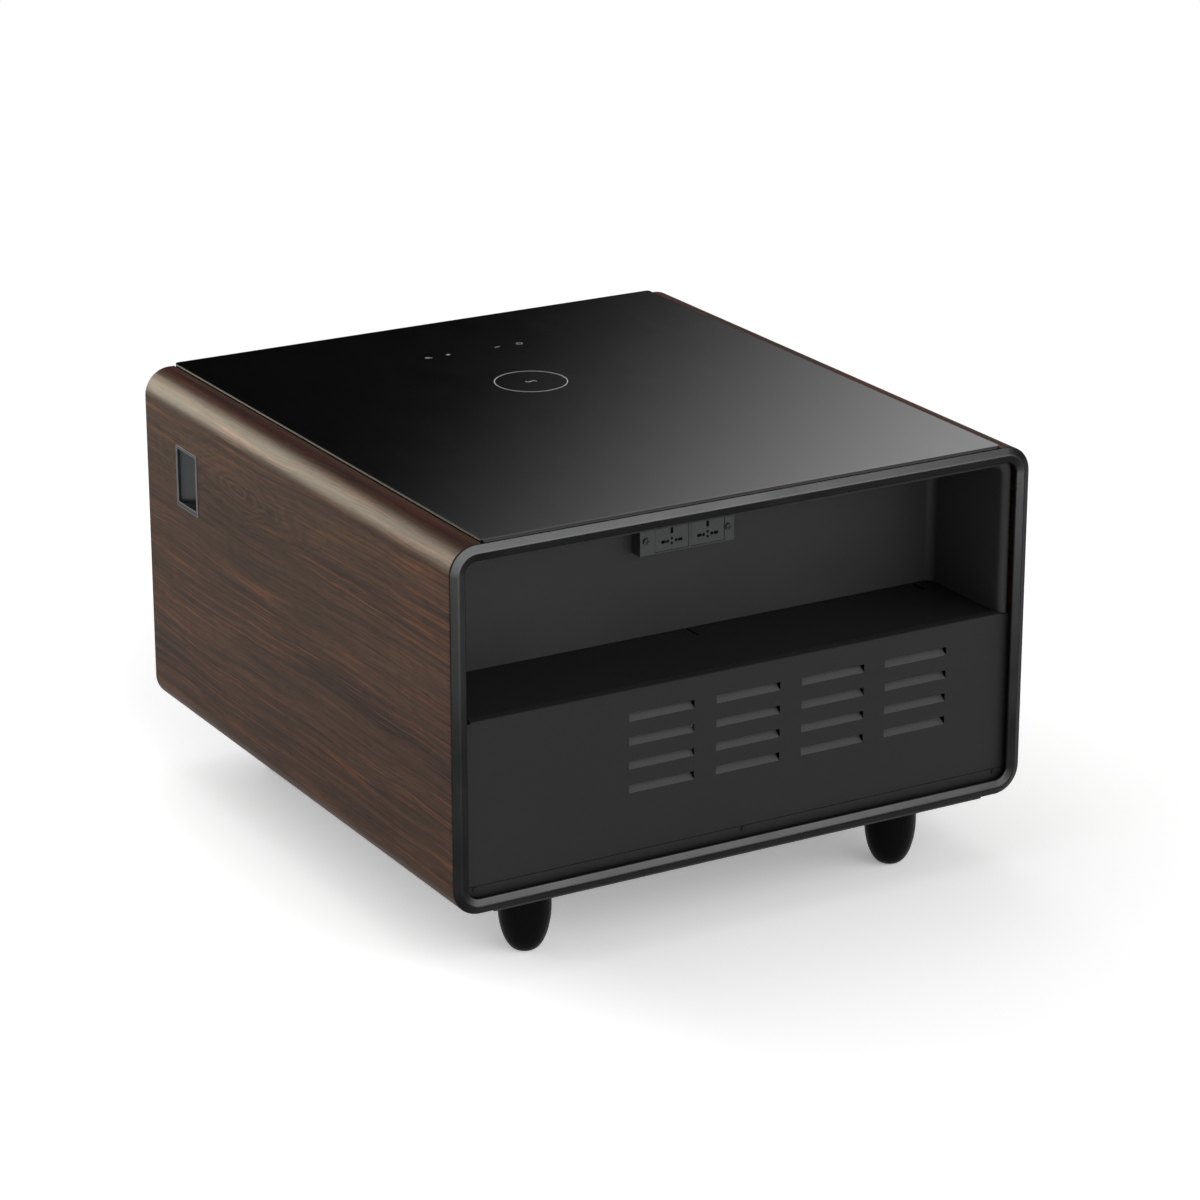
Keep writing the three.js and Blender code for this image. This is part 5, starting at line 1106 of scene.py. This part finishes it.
class TABLE_OT_cabinet(bpy.types.Operator):
    """Insulated cabinet with its liner and evaporator"""

    bl_idname = "fridge_table.cabinet"
    bl_label = "Cabinet"

    def execute(self, context):
        finish_solid("cabinet_shell", zinc()[0])
        finish_solid("cabinet_foam", stock("Foam", foamed))
        softened("cabinet_liner", 0.8, *white_plastic(), angle=40)
        finish_solid("evaporator_plate",
                     stock("Rolled alloy", brushed, (186, 188, 190), 0.36, ALONG_X))
        softened("evaporator_cover", 0.5, *white_plastic())
        return {"FINISHED"}


class TABLE_OT_cooling(bpy.types.Operator):
    """Compressor, condenser, fan, pipes and control box behind the panel"""

    bl_idname = "fridge_table.cooling"
    bl_label = "Cooling unit"

    def execute(self, context):
        shell = stock("Compressor enamel", enamel, (20, 21, 22), 0.3)
        softened("compressor_shell", 0.8, shell, "compressor_paint", angle=45)
        for node, width, angle in (("relay_cover", 0.8, 40), ("fan_frame", 0.5, 40),
                                   ("fan_rotor", 0.3, 40), ("control_box", 0.8, 32),
                                   ("control_lid", 0.8, 32)):
            softened(node, width, *black_plastic(), angle=angle)
        finish_solid("compressor_motor", stock("Motor core", wound_core))
        finish_solid("condenser", stock("Dark fins", brushed, (62, 63, 65), 0.5, ALONG_X))
        for node in ("discharge_pipe", "suction_pipe", "filter_drier"):
            finish_solid(node, stock("Copper", copper_tube))
        finish_solid("control_board", stock("Circuit board", circuit))
        return {"FINISHED"}


# Drawer


class TABLE_OT_drawer_front(bpy.types.Operator):
    """Glass-faced drawer front with its pull and gasket"""

    bl_idname = "fridge_table.drawer_front"
    bl_label = "Drawer front"

    def execute(self, context):
        arris = context.scene.fridge_table_shapes.glass_arris
        lo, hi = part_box("drawer_glass_face")
        # Each row is the outline drawn in by an inset at its depth
        margin = 4 * MM
        inset, depth = filleted([(margin, lo.y), (0, lo.y), (0, hi.y), (margin, hi.y)],
                                [0, 0.4 * MM, arris, 0], closed=False).T
        low = np.maximum(16 * MM - inset, 1 * MM)
        high = np.maximum(1.2 * MM - inset, 0.2 * MM)
        loops = rounded_loops(lo.x + inset, hi.x - inset, lo.z + inset, hi.z - inset,
                              (high, high, low, low), 10)
        new_piece("drawer_glass", tube(ring(loops, 1, depth)),
                  stock("Front glass", glass_black, (9, 9, 9), 0.09), "front_glass", "drawer",
                  ["drawer_glass_face"], sharp=50)
        softened("drawer_front_panel", 0.8, *black_plastic(), angle=40)

        lo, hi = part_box("drawer_pull")
        # A channel's section in (y, z), open at the top, with its front wall up to the lip
        wall, lip = 2.5 * MM, 415 * MM
        section = filleted(
            [(lo.y, lo.z), (hi.y, lo.z), (hi.y, lip), (hi.y - wall, lip),
             (hi.y - wall, lo.z + wall), (lo.y + wall, lo.z + wall), (lo.y + wall, hi.z),
             (lo.y, hi.z)], np.array([0.5, 0.9, 0.9, 0.9, 3.5, 3.5, 0.6, 0.6]) * MM, steps=6)
        new_piece("drawer_pull_bar", bar(section, lo.x, hi.x),
                  stock("Pull alloy", brushed, (150, 152, 154), 0.3, ALONG_X),
                  "satin_alloy", "drawer", ["drawer_pull"], sharp=35)

        lo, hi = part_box("drawer_gasket")
        # The section bulges against the seal face and narrows to its foot, in growth and depth
        width, corner = 14 * MM, 20 * MM
        out, depth = filleted(
            [(0, 1), (0, 0.62), (0.12, 0.5), (0, 0.38), (0.16, 0), (0.84, 0), (1, 0.38),
             (0.88, 0.5), (1, 0.62), (1, 1)],
            [0, 0.02, 0.05, 0.1, 0.14, 0.14, 0.1, 0.05, 0.02, 0]).T
        drawn = width - out * width
        loops = rounded_loops(lo.x + drawn, hi.x - drawn, lo.z + drawn, hi.z - drawn,
                              corner + out * width, 8)
        grid = ring(loops, 1, lo.y + depth * (hi.y - lo.y))
        new_piece("door_seal", hoop(grid), stock("Seal rubber", rubber), "seal_rubber",
                  "drawer", ["drawer_gasket"], sharp=60)
        return {"FINISHED"}


class TABLE_OT_drawer_tub(bpy.types.Operator):
    """Tub with its divider, carrier and runners"""

    bl_idname = "fridge_table.drawer_tub"
    bl_label = "Drawer tub"

    def execute(self, context):
        lo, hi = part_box("drawer_tub")
        rim, wall, taper, bend = 6 * MM, 2.5 * MM, 6 * MM, 10 * MM
        under_rim = hi.z - 3 * MM
        # (inset from the walls' top line, height): up the outside, over the rim, down the inside
        inset, height = filleted(
            [(taper + bend * 2, lo.z), (taper, lo.z), (0, under_rim), (-rim, under_rim),
             (-rim, hi.z), (wall, hi.z), (taper + wall, lo.z + wall),
             (taper + wall + bend * 2, lo.z + wall)],
            np.array([0, 8, 1.2, 0.9, 0.9, 1.6, 8, 0]) * MM, steps=8, closed=False).T
        drawn = rim + inset
        loops = rounded_loops(lo.x + drawn, hi.x - drawn, lo.y + drawn, hi.y - drawn,
                              np.maximum(22 * MM - inset / 2, 6 * MM), 10)
        new_piece("bin", tube(ring(loops, 2, height)), *white_plastic(), "drawer",
                  ["drawer_tub"], sharp=50)
        softened("tub_divider", 0.4, *white_plastic())
        softened("drawer_carrier", 0.5, *zinc())
        for side in ("left", "right"):
            for member in ("outer", "middle", "inner"):
                softened(f"runner_{member}_{side}", 0.25, *zinc(), segments=1)
        return {"FINISHED"}


# Stage


class TABLE_OT_stage(bpy.types.Operator):
    """Floor, soft light, pale background and the camera"""

    bl_idname = "fridge_table.stage"
    bl_label = "Stage"

    def execute(self, context):
        scene = context.scene
        scene.view_settings.view_transform = "Standard"
        self.floor(scene.fridge_table_stage)
        self.background(scene)
        self.lamps(scene.fridge_table_stage.lamp_power)
        self.camera(scene.fridge_table_stage, scene)
        return {"FINISHED"}

    def floor(self, stage):
        size = 14.0
        mesh = bpy.data.meshes.new("floor")
        mesh.from_pydata([(-size, -size, 0), (size, -size, 0), (size, size, 0), (-size, size, 0)],
                         [], [[0, 1, 2, 3]])
        floor = bpy.data.objects.new("floor", mesh)
        bpy.context.scene.collection.objects.link(floor)
        f = Finish("Floor", roughness=1.0, Specular_IOR_Level=0.0)
        mesh.materials.append(f.material)
        shade = (*stage.floor_shade, 1.0)
        cloud = f.curve(f.noise(f.place(), 3, 2), 0.3, 0.7, 0, 0.03)
        f.colour(f.mix(cloud, shade, (1, 1, 1, 1)))
        # The camera and the mirrors see the floor lifted by a glow, painted light that is stronger
        # on the left where it thins the table's shadow, and plain white far from the table
        x, y, _ = f.axes(f.coordinates.out("Object"))
        reach = f.sum("SQRT", x * x + y * y)
        path = f.add("LightPath")
        seen = f.most(path.out("Is Camera Ray"), path.out("Is Glossy Ray"),
                      path.out("Is Transmission Ray"))
        lifted = 1.45
        lit = f.add("BsdfDiffuse", {"Color": (*(c * lifted for c in shade[:3]), 1.0)})
        # Painted light: a glow on the floor, stronger on the left, that lightens the shadow there
        painted_floor_light = f.add("Emission", {"Strength": f.curve(x, -0.42, -0.14, 0.44, 0.25)})
        near = f.add("AddShader", {0: lit, 1: painted_floor_light})
        view = f.add("MixShader", {0: f.curve(reach, 0.9, 1.5), 1: near, 2: f.add("Emission")})
        blend = f.add("MixShader", {0: seen, 1: Flow(f, f.shader), 2: view})
        f.feed(f.tree.nodes["Material Output"].inputs["Surface"], blend)

    def background(self, scene):
        """White to the camera, two wide soft boxes to matt surfaces, and to glossy surfaces a
        studio that is dark beyond the far left and bright overhead and to the right."""
        scene.world = bpy.data.worlds.new("Studio")
        scene.world.use_nodes = True
        n = Nodes(scene.world.node_tree)
        n.tree.nodes.clear()
        x, y, z = n.axes(n.add("TexCoord").out("Generated"))

        def soft_edge(*values):
            return n.curve(*values, kind="SMOOTHSTEP")

        # Bearing from +Y towards +X and height over the horizon, in degrees
        bearing = n.sum("ARCTAN2", x, y) * (180 / math.pi)
        height = n.sum("ARCSINE", z) * (180 / math.pi)
        # Beyond the table a panel brightens with the square of bearing plus height
        start, full, gain = 45.0, 8.6, 0.0165
        slope = n.sum("MINIMUM", n.most(bearing + height * 1.05 - start, 0.0), full)
        panel = slope * slope * gain * soft_edge(bearing, 62, 100, 1.0, 0.35)
        over = soft_edge(height, 26, 50, 0.0, 1.6)
        behind = n.sum("ABSOLUTE", bearing - 150)
        front = soft_edge(height, -2, 10) * soft_edge(behind, 14, 40, 1.2, 0.0)
        # Two wide soft boxes light the matt surfaces: one in front, one behind the left
        front_box = soft_edge(x * 0.42 + y * -0.908, 0.45, 0.85, 0.0, 2.0)
        left_box = soft_edge(n.sum("ABSOLUTE", bearing + 30), 50, 100, 0.6, 0.0)
        strengths = (1.0, n.most(front_box, left_box) + 0.2, n.most(panel, over, front) + 0.006)
        white, matt, gloss = (n.add("Background", {"Color": (1, 1, 1, 1), "Strength": strength})
                              for strength in strengths)
        path = n.add("LightPath")
        lighting = n.add("MixShader", {0: path.out("Is Glossy Ray"), 1: matt, 2: gloss})
        seen = n.most(path.out("Is Camera Ray"), path.out("Is Transmission Ray"))
        n.add("OutputWorld", {0: n.add("MixShader", {0: seen, 1: lighting, 2: white})})

    def lamps(self, watts):
        def lamp(name, place, target, size, power, colour=(1, 1, 1), only=()):
            """An area lamp. With "only", it shows in those pieces' gloss and lights nothing."""
            data = bpy.data.lights.new(name, "AREA")
            data.shape = "RECTANGLE"
            data.size, data.size_y = size
            data.energy, data.color = power, colour
            lamp = bpy.data.objects.new(name, data)
            bpy.context.scene.collection.objects.link(lamp)
            lamp.location = place
            way = Vector(target) - Vector(place)
            lamp.rotation_euler = way.to_track_quat("-Z", "Y").to_euler()
            if only:
                seen_by = bpy.data.collections.new(name)
                for piece in only:
                    seen_by.objects.link(bpy.data.objects[piece])
                lamp.light_linking.receiver_collection = seen_by
                lamp.visible_diffuse = False

        lamp("Overhead", (0, -0.2, 3.2), (0, 0, 0.2), (2.6, 2.6), watts * 0.3)
        lamp("Behind the left", (-2.2, 2.4, 1.5), (-0.3, 0, 0.3), (2.0, 1.6), watts * 0.5)
        lamp("Frame highlight", (0.1, -1.6, 0.76), (0.1, -0.34, 0.76), (2.2, 1.46), 300,
             only=["service_frame"])
        lamp("Wood highlight", (-1.38, 2.27, 1.1), (-0.32, 0, 1.1), (1.8, 1.53), 240,
             (1, 0.96, 0.78), ["wood_side_left", "wood_side_right"])

    def camera(self, stage, scene):
        data = bpy.data.cameras.new("Camera")
        data.lens, data.sensor_width = stage.lens, 36
        data.clip_start, data.clip_end = 0.05, 60
        camera = bpy.data.objects.new("Camera", data)
        scene.collection.objects.link(camera)
        camera.location = stage.camera_place
        level = math.cos(stage.pitch)
        ahead = Vector((math.sin(stage.yaw) * level, math.cos(stage.yaw) * level,
                        -math.sin(stage.pitch)))
        camera.rotation_euler = ahead.to_track_quat("-Z", "Y").to_euler()
        scene.camera = camera


# Add-on


PIECES = (TABLE_OT_rear_frame, TABLE_OT_wood_sides, TABLE_OT_glass_top, TABLE_OT_top_marks,
          TABLE_OT_underside, TABLE_OT_louvre_panel, TABLE_OT_niche, TABLE_OT_socket_strip,
          TABLE_OT_hand_grips, TABLE_OT_cabinet, TABLE_OT_cooling, TABLE_OT_drawer_front,
          TABLE_OT_drawer_tub, TABLE_OT_stage)
GROUPS = {"fridge_table_finishes": FridgeTableFinishes, "fridge_table_shapes": FridgeTableShapes,
          "fridge_table_stage": FridgeTableStage}


class VIEW3D_PT_fridge_table(bpy.types.Panel):
    """Sidebar panel with the sizes, the finishes and one button for each piece"""

    bl_label = "Fridge table"
    bl_space_type = "VIEW_3D"
    bl_region_type = "UI"
    bl_category = "Fridge table"

    def draw(self, context):
        for name, group in GROUPS.items():
            box = self.layout.box()
            settings = getattr(context.scene, name)
            for key in group.__annotations__:
                box.prop(settings, key)
        column = self.layout.column()
        for piece in PIECES:
            column.operator(piece.bl_idname)


def register():
    for cls in (*GROUPS.values(), *PIECES, VIEW3D_PT_fridge_table):
        bpy.utils.register_class(cls)
    for name, group in GROUPS.items():
        setattr(bpy.types.Scene, name, bpy.props.PointerProperty(type=group))


def unregister():
    for name in GROUPS:
        delattr(bpy.types.Scene, name)
    for cls in (VIEW3D_PT_fridge_table, *reversed(PIECES), *reversed(GROUPS.values())):
        bpy.utils.unregister_class(cls)


def main():
    """Registers the add-on and makes every piece in order."""
    register()
    for piece in PIECES:
        group, name = piece.bl_idname.split(".")
        getattr(getattr(bpy.ops, group), name)()


if __name__ == "__main__":
    main()
